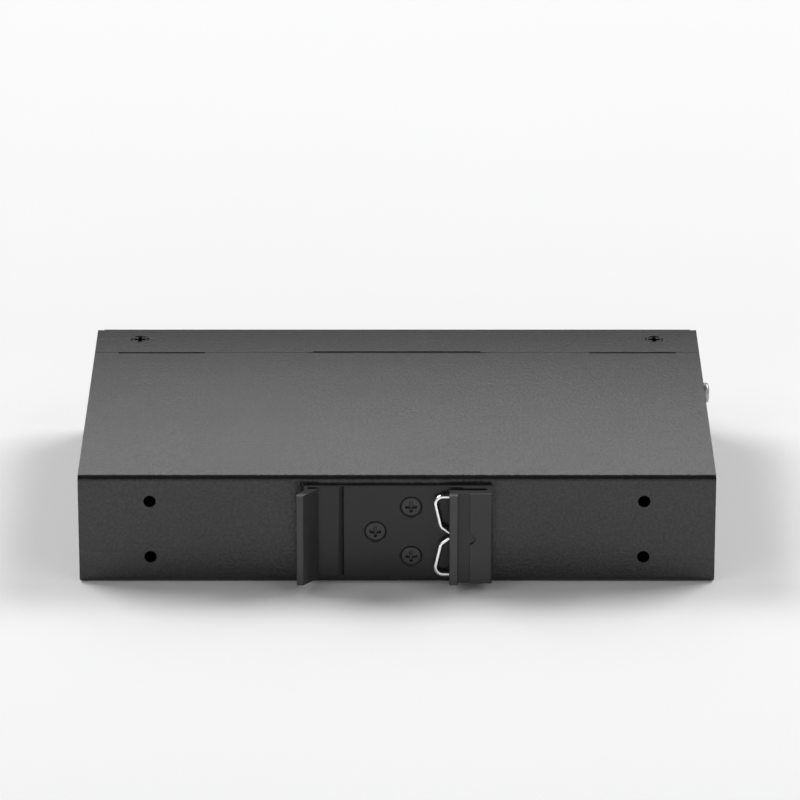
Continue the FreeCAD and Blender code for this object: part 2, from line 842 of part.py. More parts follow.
def make_case_fasteners():
    """Screws and nuts of the cover, the rear wall and the clip."""
    sink = s.countersink_clearance * wall / (s.cover_screw_head - s.cover_screw_thread)
    cover_screw = countersunk_screw("cover_screw", s.cover_screw_head, s.cover_screw_thread,
                                    s.cover_screw_length, wall - sink, s.cover_screw_recess)
    upper = [(place, cover_screw_row, top - sink) for place in cover_screw_places]
    lower = [(place, cover_screw_row, sink) for place in cover_screw_places]
    turns = [UPRIGHT] * len(upper) + [UPSIDE_DOWN] * len(lower)
    cover_screws = copies("cover_screws", cover_screw, upper + lower, turns)
    clip_cone = (s.clip_screw_head - s.clip_screw_thread) / 2
    clip_screw = countersunk_screw("clip_screw", s.clip_screw_head, s.clip_screw_thread,
                                   s.clip_screw_length, clip_cone, s.clip_screw_recess)
    head_face = back - s.clip_base + s.clip_sink_clearance / 2
    spots = [(x, head_face, z) for x, z in clip_screw_spots]
    clip_screws = copies("clip_screws", clip_screw, spots, [FACING_REAR] * len(spots))
    nut_face = back + wall + s.nut_height
    clip_nut = hex_nut("clip_nut", s.clip_screw_thread + s.thread_clearance, s.nut_height)
    spots = [(x, nut_face, z) for x, z in clip_screw_spots]
    clip_nuts = copies("clip_nuts", clip_nut, spots, [FACING_REAR] * len(spots))
    wall_nut = hex_nut("wall_nut", s.wall_hole_diameter, s.nut_height)
    spots = [(x, nut_face, z) for x, z in wall_hole_spots]
    wall_nuts = copies("wall_mount_nuts", wall_nut, spots, [FACING_REAR] * len(spots))
    return [cover_screws, clip_screws, clip_nuts, wall_nuts]


def rounded_path(points, rounds):
    """Straight runs joined by tangent arcs; rounds gives the radius at each inner point."""
    edges = []
    start = points[0]
    for before, corner, after, radius in zip(points, points[1:], points[2:], rounds):
        to_before = (before - corner).normalize()
        to_after = (after - corner).normalize()
        half_angle = to_before.getAngle(to_after) / 2
        reach = radius / math.tan(half_angle)
        inward = (to_before + to_after).normalize()
        first = corner + to_before * reach
        last = corner + to_after * reach
        via = corner + inward * (radius / math.sin(half_angle) - radius)
        edges.append(Part.LineSegment(start, first).toShape())
        edges.append(Part.Arc(first, via, last).toShape())
        start = last
    edges.append(Part.LineSegment(start, points[-1]).toShape())
    return edges


def make_clip_spring():
    """Spring wire bent to a W: two tails in the slot, two bows and a narrow middle turn."""
    level = back.value - spring_rise.value
    centre = (rear_level - s.spring_drop).value

    def spot(x, spacing, side):
        return Vector(x.value, level, centre + side * spacing.value / 2)

    def side_run(side):
        points = [
            spot(s.mouth_step + s.spring_tail_entry, s.spring_tail_spacing, side),
            spot(s.spring_bow_place, s.spring_tail_spacing, side),
            spot(s.spring_pinch_place, s.spring_pinch_spacing, side),
            spot(s.spring_neck_place, s.spring_neck_spacing, side),
            spot(s.spring_turn_place, s.spring_neck_spacing, side),
        ]
        bends = [s.spring_bow_round.value, s.spring_pinch_round.value, s.spring_pinch_round.value]
        return points, rounded_path(points, bends)

    upper_points, upper = side_run(1)
    lower_points, lower = side_run(-1)
    turn_tip = Vector(s.spring_turn_place.value + s.spring_neck_spacing.value / 2, level, centre)
    turn_arc = Part.Arc(upper_points[-1], turn_tip, lower_points[-1]).toShape()
    path = Part.Wire(Part.__sortEdges__(upper + [turn_arc] + lower))
    section = Part.makeCircle(s.spring_wire.value / 2, upper_points[0], Vector(1, 0, 0))
    item = doc.addObject("Part::Feature", "clip_spring")
    item.Label = "clip_spring"
    item.Shape = path.makePipeShell([Part.Wire([section])], True, False)
    item.Placement = Placement()
    return item


def make_earth_parts():
    """Earth screw with its washers and nut on the right end wall."""
    row = front - s.earth_inset
    head_seat = half + s.washer_height + s.spring_washer_height
    screw = pan_screw("earth_bolt", s.earth_head, s.earth_head_height, s.earth_thread, s.earth_length)
    cross_recess(screw, s.earth_head_height, s.earth_recess_depth, s.earth_recess)
    bore = s.earth_thread + s.thread_clearance
    split = ring("split_ring", s.spring_washer_diameter, bore, s.spring_washer_height)
    slot = cut(split, "XY_Plane", 0, s.spring_washer_height)
    rectangle(slot, -s.spring_washer_split / 2, s.spring_washer_split / 2, 0, s.spring_washer_diameter)
    plain = ring("plain_ring", s.washer_diameter, bore, s.washer_height)
    nut = hex_nut("end_nut", bore, s.nut_height)

    def on_axis(label, pattern, x):
        return copies(label, pattern, [(x, row, middle)], [FACING_RIGHT])

    return [
        on_axis("earth_screw", screw, head_seat),
        on_axis("earth_spring_washer", split, half + s.washer_height),
        on_axis("earth_washer", plain, half),
        on_axis("earth_nut", nut, half - wall - s.nut_height),
    ]


def make_board():
    """Circuit board on four pillars, held by four screws."""
    board = new_body("circuit_board")
    sheet = add(board, "XY_Plane", s.board_height, board_top)
    rectangle(sheet, -half_board, half_board, board_back, board_front)
    round_edges(board, s.board_corner, *[
        {"x": half_board * side, "y": row} for side in (-1, 1) for row in (board_back, board_front)])
    holes = cut(board, "XY_Plane", s.board_height, board_top)
    for x, y in pillar_spots:
        circle(holes, x, y, s.board_screw_thread + s.panel_clearance)
    pillar = new_body("pillar")
    hexagon(add(pillar, "XY_Plane", 0, s.board_height - flange_top), s.pillar_across)
    shank = add(pillar, "XY_Plane", -wall, 0)
    circle(shank, 0, 0, s.pillar_shank)
    bore = cut(pillar, "XY_Plane", -wall, s.board_height - flange_top)
    circle(bore, 0, 0, s.board_screw_thread + s.thread_clearance)
    pillars = copies("standoffs", pillar, [(x, y, flange_top) for x, y in pillar_spots])
    screw = pan_screw("board_screw", s.board_screw_head, s.board_screw_head_height, s.board_screw_thread,
                      s.board_screw_length)
    cross_recess(screw, s.board_screw_head_height, s.board_screw_recess_depth, s.board_screw_recess)
    screws = copies("board_screws", screw, [(x, y, board_top) for x, y in pillar_spots])
    return [board, pillars, screws]


def make_network_jack():
    """Shielded copper port: shell, moulded insert and eight spring contacts."""
    centre = s.jack_place
    half_jack = s.jack_width / 2
    shell = s.jack_shell
    jack_back = jack_front - s.jack_depth
    jack_top = board_top + s.jack_height
    port_low = board_top + s.latch_lift + s.latch_height
    port_high = port_low + s.port_height
    port_back = jack_front - s.port_depth

    def port_tools(name, start):
        port = block(f"{name}_port", (centre - s.port_width / 2, start, port_low),
                     (centre + s.port_width / 2, jack_front, port_high))
        latch = block(f"{name}_latch", (centre - s.latch_width / 2, start, board_top + s.latch_lift),
                      (centre + s.latch_width / 2, jack_front, port_low))
        return [port, latch]

    outer = block("jack_outer", (centre - half_jack, jack_back, board_top),
                  (centre + half_jack, jack_front, jack_top))
    hollow = block("jack_hollow", (centre - half_jack + shell, jack_back + shell, board_top),
                   (centre + half_jack - shell, jack_front - shell, jack_top - shell))
    shield = carved("network_jack_shield", outer, [hollow] + port_tools("shield", jack_front - shell))
    fit = shell + s.jack_fit
    filler = block("jack_filler", (centre - half_jack + fit, jack_back + fit, board_top),
                   (centre + half_jack - fit, jack_front - fit, jack_top - fit))
    insert = carved("network_jack_insert", filler, port_tools("insert", port_back))
    contact = new_body("contact")
    low_end = port_high - s.contact_drop
    width = s.contact_width
    strip = add(contact, "YZ_Plane", -width / 2, width / 2)
    loop(strip, [
        (jack_front - fit, port_high), (jack_front - fit, port_high - width), (port_back, low_end - width),
        (port_back, low_end), (jack_front - fit - width, port_high),
    ])
    places = row_of(CONTACTS, s.contact_pitch, centre)
    contacts = copies("network_jack_contacts", contact, [(x, 0, 0) for x in places])
    return [shield, insert, contacts]


def make_fibre_port():
    """Sheet-metal cage for the fibre module, with its edge connector at the back."""
    centre = cage_place
    half_cage = s.cage_width / 2
    shell = s.cage_shell
    cage_back = cage_front - s.cage_depth
    cage_top = board_top + s.cage_height
    half_socket = s.fibre_socket_width / 2
    socket_back = cage_back + shell + s.panel_clearance
    socket_front = socket_back + s.fibre_socket_depth
    outer = block("cage_outer", (centre - half_cage, cage_back, board_top),
                  (centre + half_cage, cage_front, cage_top))
    hollow = block("cage_hollow", (centre - half_cage + shell, cage_back + shell, board_top + shell),
                   (centre + half_cage - shell, cage_front, cage_top - shell))
    window = block("cage_window",
                   (centre - half_socket - s.panel_clearance, cage_back + shell, board_top),
                   (centre + half_socket + s.panel_clearance, cage_back + shell + s.cage_floor_window,
                    board_top + shell))
    cage = carved("fibre_cage", outer, [hollow, window])
    socket = block("socket_block", (centre - half_socket, socket_back, board_top),
                   (centre + half_socket, socket_front, board_top + s.fibre_socket_height))
    card_low = board_top + (s.fibre_socket_height - s.fibre_card_gap) / 2
    card = block("card_gap", (centre - s.fibre_card_width / 2, socket_front - s.fibre_card_depth, card_low),
                 (centre + s.fibre_card_width / 2, socket_front, card_low + s.fibre_card_gap))
    return [cage, carved("fibre_connector", socket, [card])]


def make_indicators():
    """Moulded light pipe that carries four lamps on the board to the panel."""
    bar_front = front - s.pipe_setback
    bar_back = bar_front - s.pipe_depth
    level = board_top + s.indicator_lift
    low = indicator_places[0] - s.pipe_margin
    high = indicator_places[-1] + s.pipe_margin
    bar = block("pipe_bar", (low, bar_back, board_top), (high, bar_front, board_top + s.pipe_height))
    room = s.led_room
    half_led = s.led_width / 2
    led_row = (bar_front + bar_back) / 2
    pockets = [
        block("lamp_room", (x - half_led - room, led_row - s.led_length / 2 - room, board_top),
              (x + half_led + room, led_row + s.led_length / 2 + room, board_top + s.led_height + room))
        for x in indicator_places
    ]
    rods = [
        rod("lens_rod", (x, bar_front, level), s.indicator_diameter,
            front + s.indicator_proud - bar_front, FACING_FRONT)
        for x in indicator_places
    ]
    pipe = joined("light_pipe", [carved("pipe_body", bar, pockets)] + rods)
    lamp = new_body("lamp")
    end = s.led_length / 2
    shoulder = end - room
    step = s.led_height / 2
    section = add(lamp, "YZ_Plane", -half_led, half_led)
    loop(section, [
        (-end, 0), (end, 0), (end, step), (shoulder, step), (shoulder, s.led_height),
        (-shoulder, s.led_height), (-shoulder, step), (-end, step),
    ])
    lamps = copies("indicator_leds", lamp, [(x, led_row, board_top) for x in indicator_places])
    return [pipe, lamps]


def make_terminal():
    """Board header with bent pins, and the plug with its clamps and screws."""
    centre = terminal_place
    low, high = centre - header_half, centre + header_half
    wall_in = s.header_wall
    header_top = board_top + s.header_height
    cavity_back = header_front - s.header_cavity
    half_pin = s.pin_width / 2
    pin_hole = half_pin + s.pin_fit
    outer = block("header_outer", (low, header_back, board_top), (high, header_front, header_top))
    cavity = block("header_cavity", (low + wall_in, cavity_back, board_top + wall_in),
                   (high - wall_in, header_front, header_top - wall_in))
    pin_holes = [
        block("pin_hole", (x - pin_hole, header_back, pin_level - pin_hole),
              (x + pin_hole, cavity_back, pin_level + pin_hole))
        for x in pole_places
    ]
    header = carved("terminal_header", outer, [cavity] + pin_holes)
    pin = new_body("pin")
    elbow = header_back - s.pin_fit - s.pin_width
    shape = add(pin, "YZ_Plane", -half_pin, half_pin)
    tip = header_front - s.pin_tip_setback
    loop(shape, [
        (tip, pin_level - half_pin), (tip, pin_level + half_pin), (elbow, pin_level + half_pin),
        (elbow, board_top), (elbow + s.pin_width, board_top), (elbow + s.pin_width, pin_level - half_pin),
    ])
    pins = copies("terminal_pins", pin, [(x, 0, 0) for x in pole_places])
    return [header, pins] + make_terminal_plug(low, high, cavity_back, pin_hole)


def make_terminal_plug(low, high, cavity_back, pin_hole):
    """Plug body with wire entries in front and clamp screws above."""
    plug = new_body("terminal_plug")
    nose_inset = s.header_wall + s.plug_fit
    header_top = board_top + s.header_height
    section = add(plug, "YZ_Plane", low, high)
    loop(section, [
        (plug_back, plug_low), (plug_front, plug_low), (plug_front, plug_high - s.plug_chamfer),
        (plug_front - s.plug_chamfer, plug_high), (plug_back, plug_high),
    ])
    nose = add(plug, "XZ_Plane", cavity_back + s.plug_fit, plug_back)
    rectangle(nose, low + nose_inset, high - nose_inset, board_top + nose_inset, header_top - nose_inset)
    sockets = cut(plug, "XZ_Plane", cavity_back + s.plug_fit, header_front)
    half_entry = s.wire_entry / 2
    entry_back = plug_front - s.wire_entry_depth
    entries = cut(plug, "XZ_Plane", entry_back, plug_front)
    screw_row = plug_front - s.clamp_screw_setback
    wells = cut(plug, "XY_Plane", entry_high, plug_high)
    for x in pole_places:
        rectangle(sockets, x - pin_hole, x + pin_hole, pin_level - pin_hole, pin_level + pin_hole)
        rectangle(entries, x - half_entry, x + half_entry, entry_low, entry_high)
        circle(wells, x, screw_row, s.clamp_screw + s.pin_fit * 2)
    groove = s.pole_groove_depth
    groove_half = s.pole_groove_width / 2
    bevel_shift = s.plug_chamfer + groove * (math.sqrt(2) - 1)
    for x in pole_places[1:]:
        between = x - s.terminal_pitch / 2
        line = cut(plug, "YZ_Plane", between - groove_half, between + groove_half)
        loop(line, [
            (plug_front, plug_low), (plug_front, plug_high - s.plug_chamfer),
            (plug_front - s.plug_chamfer, plug_high), (plug_back, plug_high), (plug_back, plug_high - groove),
            (plug_front - bevel_shift, plug_high - groove), (plug_front - groove, plug_high - bevel_shift),
            (plug_front - groove, plug_low),
        ])
    clamp_front = plug_front - s.clamp_setback
    clamp_half = half_entry - s.pin_fit
    clamp_wall = s.clamp_wall
    clamp_outer = block("clamp_outer", (-clamp_half, entry_back, entry_low),
                        (clamp_half, clamp_front, entry_high - s.pin_fit))
    clamp_bore = block("clamp_bore", (clamp_wall - clamp_half, entry_back, entry_low + clamp_wall),
                       (clamp_half - clamp_wall, clamp_front, entry_high - s.pin_fit - clamp_wall))
    clamp = carved("clamp", clamp_outer, [clamp_bore])
    clamps = copies("terminal_clamps", clamp, [(x, 0, 0) for x in pole_places])
    screw = new_body("clamp_screw")
    height = plug_high - s.clamp_screw_sink - entry_high
    circle(add(screw, "XY_Plane", 0, height), 0, 0, s.clamp_screw)
    slot = cut(screw, "XY_Plane", height - s.slot_depth, height)
    rectangle(slot, -s.clamp_screw, s.clamp_screw, -s.slot_width / 2, s.slot_width / 2)
    screws = copies("terminal_screws", screw, [(x, screw_row, entry_high) for x in pole_places])
    return [plug, clamps, screws]


def leaded_package(label, x, y, half_x, half_y, height):
    """Moulded chip package with a row of flat leads on its long sides."""
    reach = s.lead_reach
    body = block(f"{label}_case", (x - half_x, y - half_y, board_top + s.lead_thickness),
                 (x + half_x, y + half_y, board_top + height))
    leads = block(f"{label}_leads", (x - half_x + reach, y - half_y - reach, board_top),
                  (x + half_x - reach, y + half_y + reach, board_top + s.lead_thickness))
    return joined(label, [body, leads])


def make_signal_parts():
    """Converter chip with its heat sink, line transformer and crystal."""
    half_chip = s.chip_width / 2
    x, y = s.chip_place, s.chip_row
    chip = leaded_package("converter_chip", x, y, half_chip, half_chip, s.chip_height)
    sink_low = board_top + s.chip_height
    sink_block = block("sink_block", (x - half_chip, y - half_chip, sink_low),
                       (x + half_chip, y + half_chip, sink_low + s.sink_height))
    channel = (s.chip_width - s.sink_fin * (SINK_SLOTS + 1)) / SINK_SLOTS
    channels = []
    for index in range(SINK_SLOTS):
        start = x - half_chip + s.sink_fin * (index + 1) + channel * index
        channels.append(block("sink_channel", (start, y - half_chip, sink_low + s.sink_base),
                              (start + channel, y + half_chip, sink_low + s.sink_height)))
    sink = carved("chip_heat_sink", sink_block, channels)
    line = leaded_package("line_transformer", s.line_place, s.line_row, s.line_length / 2, s.line_width / 2,
                          s.line_height)
    crystal = new_body("crystal")
    half_can = s.crystal_length / 2
    half_width = s.crystal_width / 2
    can = add(crystal, "XY_Plane", board_top, board_top + s.crystal_height)
    rectangle(can, s.crystal_place - half_can, s.crystal_place + half_can, s.crystal_row - half_width,
              s.crystal_row + half_width)
    round_edges(crystal, s.crystal_width * NEARLY_HALF, *[
        {"x": s.crystal_place + half_can * side, "y": s.crystal_row + half_width * end}
        for side in (-1, 1) for end in (-1, 1)])
    return [chip, sink, line, crystal]


def make_supply_transformer():
    """Ferrite core with two windows, and the coil round its middle leg."""
    x, y = half_board - s.core_end_inset, s.core_row
    half_core = s.core_width / 2
    half_leg = s.core_centre_leg / 2
    half_depth = s.core_depth / 2
    core_top = board_top + s.core_height
    low, high = board_top + s.core_yoke, core_top - s.core_yoke
    window = half_core - s.core_leg
    gap = s.coil_gap
    outer = block("core_outer", (x - half_core, y - half_depth, board_top),
                  (x + half_core, y + half_depth, core_top))
    windows = [
        block("core_window", (x + half_leg, y - half_depth, low), (x + window, y + half_depth, high)),
        block("core_window", (x - window, y - half_depth, low), (x - half_leg, y + half_depth, high)),
    ]
    core = carved("transformer_core", outer, windows)
    coil_x = window - gap
    coil_y = half_depth + s.coil_build
    winding = block("coil_outer", (x - coil_x, y - coil_y, low + gap), (x + coil_x, y + coil_y, high - gap))
    hole = block("coil_hole", (x - half_leg - gap, y - half_depth - gap, low + gap),
                 (x + half_leg + gap, y + half_depth + gap, high - gap))
    return [core, carved("transformer_coil", winding, [hole])]


def make_capacitors():
    """Row of three can capacitors."""
    can = new_body("capacitor")
    radius = s.capacitor_diameter / 2
    chamfer = s.capacitor_chamfer
    height = s.capacitor_height
    turn(can, [(0, 0), (radius, 0), (radius, height - chamfer), (radius - chamfer, height), (0, height)])
    place = half_board - s.capacitor_end_inset
    rows = row_of(CAPACITORS, s.capacitor_pitch, s.capacitor_row)
    return [copies("capacitors", can, [(place, row, board_top) for row in rows])]


def make_inductor():
    """Moulded supply inductor with cut corners."""
    inductor = new_body("power_inductor")
    centre = half_board - s.inductor_end_inset
    side = s.inductor_width / 2
    corner = side - s.inductor_corner
    outline = add(inductor, "XY_Plane", board_top, board_top + s.inductor_height)
    octagon = [
        (side, corner), (corner, side), (-corner, side), (-side, corner),
        (-side, -corner), (-corner, -side), (corner, -side), (side, -corner),
    ]
    loop(outline, [(centre + a, s.inductor_row + b) for a, b in octagon])
    return [inductor]


def make_fuse():
    """Ceramic fuse with square metal ends."""
    x, y = half_board - s.fuse_end_inset, s.fuse_row
    end = s.fuse_length / 2
    neck = end - s.fuse_cap
    side = s.fuse_width / 2
    waist = side - s.fuse_step
    barrel = block("fuse_barrel", (x - neck, y - waist, board_top + s.fuse_step),
                   (x + neck, y + waist, board_top + s.fuse_width - s.fuse_step))
    caps = [
        block("fuse_end", (x + low, y - side, board_top), (x + high, y + side, board_top + s.fuse_width))
        for low, high in ((-end, -neck), (neck, end))
    ]
    return [joined("input_fuse", [barrel] + caps)]


def check(nodes):
    """Stop if anything failed to build."""
    for item in doc.Objects:
        if "Invalid" in item.State or "Error" in item.State:
            raise RuntimeError(f"{item.Name} failed: {item.State}")
    for node in nodes:
        if node.Shape.isNull() or not node.Shape.isValid():
            raise RuntimeError(f"{node.Label} has no valid shape")


def main():
    """Build every piece, check it and write one file each."""
    nodes = [make_cover(), make_front_chassis(), make_din_clip(), make_clip_spring()]
    for group in (make_case_fasteners, make_earth_parts, make_board, make_network_jack, make_fibre_port,
                  make_indicators, make_terminal, make_signal_parts, make_supply_transformer,
                  make_capacitors, make_inductor, make_fuse):
        nodes.extend(group())
    doc.recompute()
    check(nodes)
    os.makedirs("parts", exist_ok=True)
    for node in nodes:
        node.Shape.exportStep(os.path.join("parts", f"{node.Label}.step"))
        print(node.Label, len(node.Shape.Solids), round(node.Shape.Volume, 2))


main()
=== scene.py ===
"""Looks of a slim media converter: a black folded sheet-metal case with a sprung clip for a mounting rail.

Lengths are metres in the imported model's own frame: +X along the case, the rail clip on -Y, the ports
on +Y and +Z up.
"""
import functools
import math
from typing import NamedTuple

import bmesh
import bpy
from bpy.props import FloatProperty, FloatVectorProperty, PointerProperty
from mathutils import Matrix, Vector


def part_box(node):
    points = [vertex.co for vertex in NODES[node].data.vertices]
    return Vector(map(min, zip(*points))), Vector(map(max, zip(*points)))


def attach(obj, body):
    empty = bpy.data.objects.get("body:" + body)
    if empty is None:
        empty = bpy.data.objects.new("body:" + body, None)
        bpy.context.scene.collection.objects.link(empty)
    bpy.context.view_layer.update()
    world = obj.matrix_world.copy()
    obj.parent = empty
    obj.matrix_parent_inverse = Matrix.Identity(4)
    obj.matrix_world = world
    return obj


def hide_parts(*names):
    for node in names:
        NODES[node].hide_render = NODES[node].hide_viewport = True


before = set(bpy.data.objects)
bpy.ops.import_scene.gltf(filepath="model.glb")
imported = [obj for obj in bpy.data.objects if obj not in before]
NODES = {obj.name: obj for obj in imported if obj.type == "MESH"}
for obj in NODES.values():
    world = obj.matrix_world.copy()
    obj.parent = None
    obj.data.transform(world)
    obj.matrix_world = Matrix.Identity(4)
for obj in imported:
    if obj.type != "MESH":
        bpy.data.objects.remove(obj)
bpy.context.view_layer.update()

bl_info = {
    "name": "Media converter finish",
    "version": (1, 0, 0),
    "blender": (4, 5, 0),
    "location": "3D View > Sidebar > Converter",
    "description": "Finishes and fine detail of a media converter with a rail clip",
    "category": "Object",
}

HOUSING = "housing"
MM = 0.001
FULL_TURN = math.tau
WELD = 1e-7
SHARP_ANGLE = math.radians(32)
ROUND_STEPS = 64
CLIP_BASE = 1.6 * MM
STRIP_DEPTH = 17.5 * MM


def length(name, text, millimetres):
    """A length that a user may change."""
    return FloatProperty(name=name, description=text, default=millimetres * MM, min=0.0,
                         subtype="DISTANCE", unit="LENGTH", precision=6)


def share(name, text, value):
    """A number from 0 to 1 that a user may change."""
    return FloatProperty(name=name, description=text, default=value, min=0.0, max=1.0, subtype="FACTOR")


def colour(name, text, *value):
    """A scene-linear colour that a user may change."""
    return FloatVectorProperty(name=name, description=text, default=value, size=3, min=0.0, max=1.0,
                               subtype="COLOR")


def power(name, text, watts):
    """The power of a lamp that a user may change."""
    return FloatProperty(name=name, description=text, default=watts, min=0.0, unit="POWER")


class CaseSettings(bpy.types.PropertyGroup):
    """Powder coat of the folded sheet and paint of the clip."""

    coat: colour("Coat", "Colour of the powder coat", 0.0030, 0.0030, 0.0031)
    coat_roughness: share("Coat roughness", "Roughness of the powder coat", 0.31)
    grain: length("Grain", "Width of one pebble of the powder coat", 0.55)
    grain_depth: length("Grain depth", "Height of the pebbles", 0.062)
    flake: share("Flake", "How metallic the pebbles of the powder coat are", 0.22)
    clip: colour("Clip", "Colour of the painted clip", 0.0150, 0.0150, 0.0152)
    clip_roughness: share("Clip roughness", "Roughness of the painted clip", 0.33)
    line_pitch: length("Die line pitch", "Spacing of the die lines along the clip", 0.22)
    edge_round: length("Edge round", "Radius that the paint gives to a sharp edge", 0.12)


class MetalSettings(bpy.types.PropertyGroup):
    """Bare and plated metals."""

    wire: colour("Wire", "Colour of the bright spring wire", 0.97, 0.97, 0.96)
    plated: colour("Plated steel", "Colour of zinc-plated steel", 0.46, 0.46, 0.45)
    tinned: colour("Tinned sheet", "Colour of tinned shield metal", 0.74, 0.74, 0.72)
    blackened: colour("Blackened steel", "Colour of blackened screws", 0.016, 0.016, 0.017)
    # Painted shade: a near-black colour put inside bores and screw recesses, where shade falls.
    bore: colour("Bore", "Colour inside threaded bores and screw recesses", 0.0015, 0.0015, 0.0015)
    gold: colour("Gold", "Colour of gold-plated contacts", 0.95, 0.66, 0.24)
    aluminium: colour("Aluminium", "Colour of the heat sink", 0.78, 0.79, 0.80)


class MouldingSettings(bpy.types.PropertyGroup):
    """Moulded parts and the parts on the board."""

    black: colour("Black moulding", "Colour of the connector inserts", 0.012, 0.012, 0.013)
    green: colour("Green moulding", "Colour of the power terminal", 0.020, 0.205, 0.066)
    clear: colour("Clear moulding", "Colour of the light pipe", 0.93, 0.95, 0.94)
    lamp: colour("Lamp", "Colour of the lamp lenses", 0.86, 0.80, 0.52)
    board: colour("Board", "Colour of the solder mask", 0.010, 0.085, 0.032)
    track: colour("Tracks", "Colour of the mask over copper", 0.022, 0.150, 0.055)
    chip: colour("Chip", "Colour of the chip packages", 0.018, 0.018, 0.019)
    ferrite: colour("Ferrite", "Colour of the magnetic cores", 0.030, 0.029, 0.028)
    tape: colour("Coil tape", "Colour of the tape round the coil", 0.62, 0.36, 0.035)
    sleeve: colour("Sleeve", "Colour of the capacitor sleeves", 0.012, 0.020, 0.060)
    ceramic: colour("Ceramic", "Colour of the fuse body", 0.80, 0.78, 0.73)


class ScrewSettings(bpy.types.PropertyGroup):
    """Shape of the cross recesses and the threads."""

    wing_width: length("Wing width", "Width of a wing of a cross recess", 0.74)
    cover_wing: length("Cover wing", "Width of a wing of the recess of a cover screw", 0.95)
    wing_reach: length("Wing reach", "Distance from the middle of the recess to the end of a wing", 1.4)
    cover_reach: length("Cover reach", "The same distance for the recess of a cover screw", 1.5)
    wing_fillet: length("Wing fillet", "Radius between two wings", 0.22)
    rim: length("Rim", "Rounded rim of the head and its recess", 0.06)
    recess_depth: length("Recess depth", "Depth of a recess at its middle", 1.0)
    cover_recess: length("Cover recess", "Depth of the recess of a cover screw at its middle", 1.25)
    thread_pitch: length("Thread pitch", "Rise of the thread in one turn", 0.5)
    thread_depth: length("Thread depth", "Height of the thread", 0.14)


class StageSettings(bpy.types.PropertyGroup):
    """Camera, lamps and floor."""

    floor: colour("Floor", "Colour of the floor", 0.95, 0.95, 0.95)
    front_wall: colour("Front wall", "Light from the pale wall behind the camera", 0.70, 0.70, 0.70)
    back_wall: colour("Back wall", "Light from the wall behind the case", 0.05, 0.05, 0.05)
    side_walls: colour("Side walls", "Light from the dark walls at both sides", 0.12, 0.12, 0.12)
    ceiling: colour("Ceiling", "Light from the dark ceiling", 0.010, 0.010, 0.010)
    rear_lamps: power("Rear lamps", "Power of each lamp behind the case", 51.0)
    front_lamps: power("Front lamps", "Power of each lamp beside the camera", 10.0)
    panel: power("Panel", "Power of the low panel behind the case", 0.097)
    lens: FloatProperty(name="Lens", description="Focal length of the camera", default=250.5,
                        min=1.0, unit="CAMERA")
    elevation: FloatProperty(name="Elevation", description="Angle by which the camera looks down",
                             default=math.radians(21.516), subtype="ANGLE", unit="ROTATION")
    camera: FloatVectorProperty(name="Camera", description="Place of the camera", size=3,
                                default=(0.75 * MM, -1291.5 * MM, 536.8 * MM), subtype="TRANSLATION",
                                unit="LENGTH")


class Tree:
    """Short calls to add and join the nodes of one material or node group."""

    def __init__(self, tree):
        self.tree = tree

    def add(self, kind, inputs=None, **settings):
        """A new node with its settings, and with its inputs fed by name."""
        node = self.tree.nodes.new(kind)
        for name, value in settings.items():
            setattr(node, name, value)
        for name, value in (inputs or {}).items():
            self.feed(node.inputs[name], value)
        return node

    def feed(self, socket, value):
        """Join a socket to another one or give it a plain value."""
        if isinstance(value, bpy.types.NodeSocket):
            self.tree.links.new(value, socket)
        else:
            socket.default_value = value

    def maths(self, operation, *values):
        node = self.add("ShaderNodeMath", operation=operation)
        for socket, value in zip(node.inputs, values):
            self.feed(socket, value)
        return node.outputs["Value"]

    def vector(self, operation, *values):
        node = self.add("ShaderNodeVectorMath", operation=operation)
        for socket, value in zip(node.inputs, values):
            self.feed(socket, value)
        return node.outputs["Value" if operation in {"DOT_PRODUCT", "LENGTH"} else "Vector"]

    def spread(self, value, low, high, to_low, to_high):
        """The value moved from one range to another and held inside it."""
        node = self.add("ShaderNodeMapRange", {"Value": value, "From Min": low, "From Max": high,
                                               "To Min": to_low, "To Max": to_high})
        return node.outputs["Result"]

    def mix(self, factor, first, second):
        node = self.add("ShaderNodeMix", data_type="RGBA")
        for index, value in zip((0, 6, 7), (factor, first, second)):
            self.feed(node.inputs[index], value)
        return node.outputs[2]

    def noise(self, vector, scale, detail=2.0):
        node = self.add("ShaderNodeTexNoise", {"Vector": vector, "Scale": scale, "Detail": detail})
        return node.outputs["Fac"]

    def place(self):
        """Coordinates of the surface point in the object's own frame."""
        return self.add("ShaderNodeTexCoord").outputs["Object"]

    def axes(self, vector):
        return self.add("ShaderNodeSeparateXYZ", {"Vector": vector}).outputs

    def distance(self, first, second):
        """How far a point is from the origin, from two of its coordinates."""
        square = self.maths("MULTIPLY", second, second)
        return self.maths("SQRT", self.maths("MULTIPLY_ADD", first, first, square))

    def shrunk(self, vector, size):
        """The coordinates in units of a given size."""
        spots = self.vector("SCALE", vector)
        self.feed(spots.node.inputs["Scale"], self.maths("DIVIDE", 1.0, size))
        return spots

    def effect(self, group, **inputs):
        """The outputs of a placed node group."""
        node = self.add("ShaderNodeGroup", node_tree=group)
        for name, value in inputs.items():
            self.feed(node.inputs[name], value)
        return node.outputs


def new_effect(name, inputs, outputs):
    """Start a shader node group and return it with its tree, input and output sockets."""
    group = bpy.data.node_groups.new(name, "ShaderNodeTree")
    for label, kind in inputs.items():
        group.interface.new_socket(label, in_out="INPUT", socket_type=kind)
    for label, kind in outputs.items():
        group.interface.new_socket(label, in_out="OUTPUT", socket_type=kind)
    tree = Tree(group)
    source = tree.add("NodeGroupInput")
    sink = tree.add("NodeGroupOutput")
    return group, tree, source.outputs, sink.inputs


GAP_DEPTH = 0.6
PATCH_CONTRAST = (0.3, 0.7)
EDGE_BEND = (0.99, 0.75)


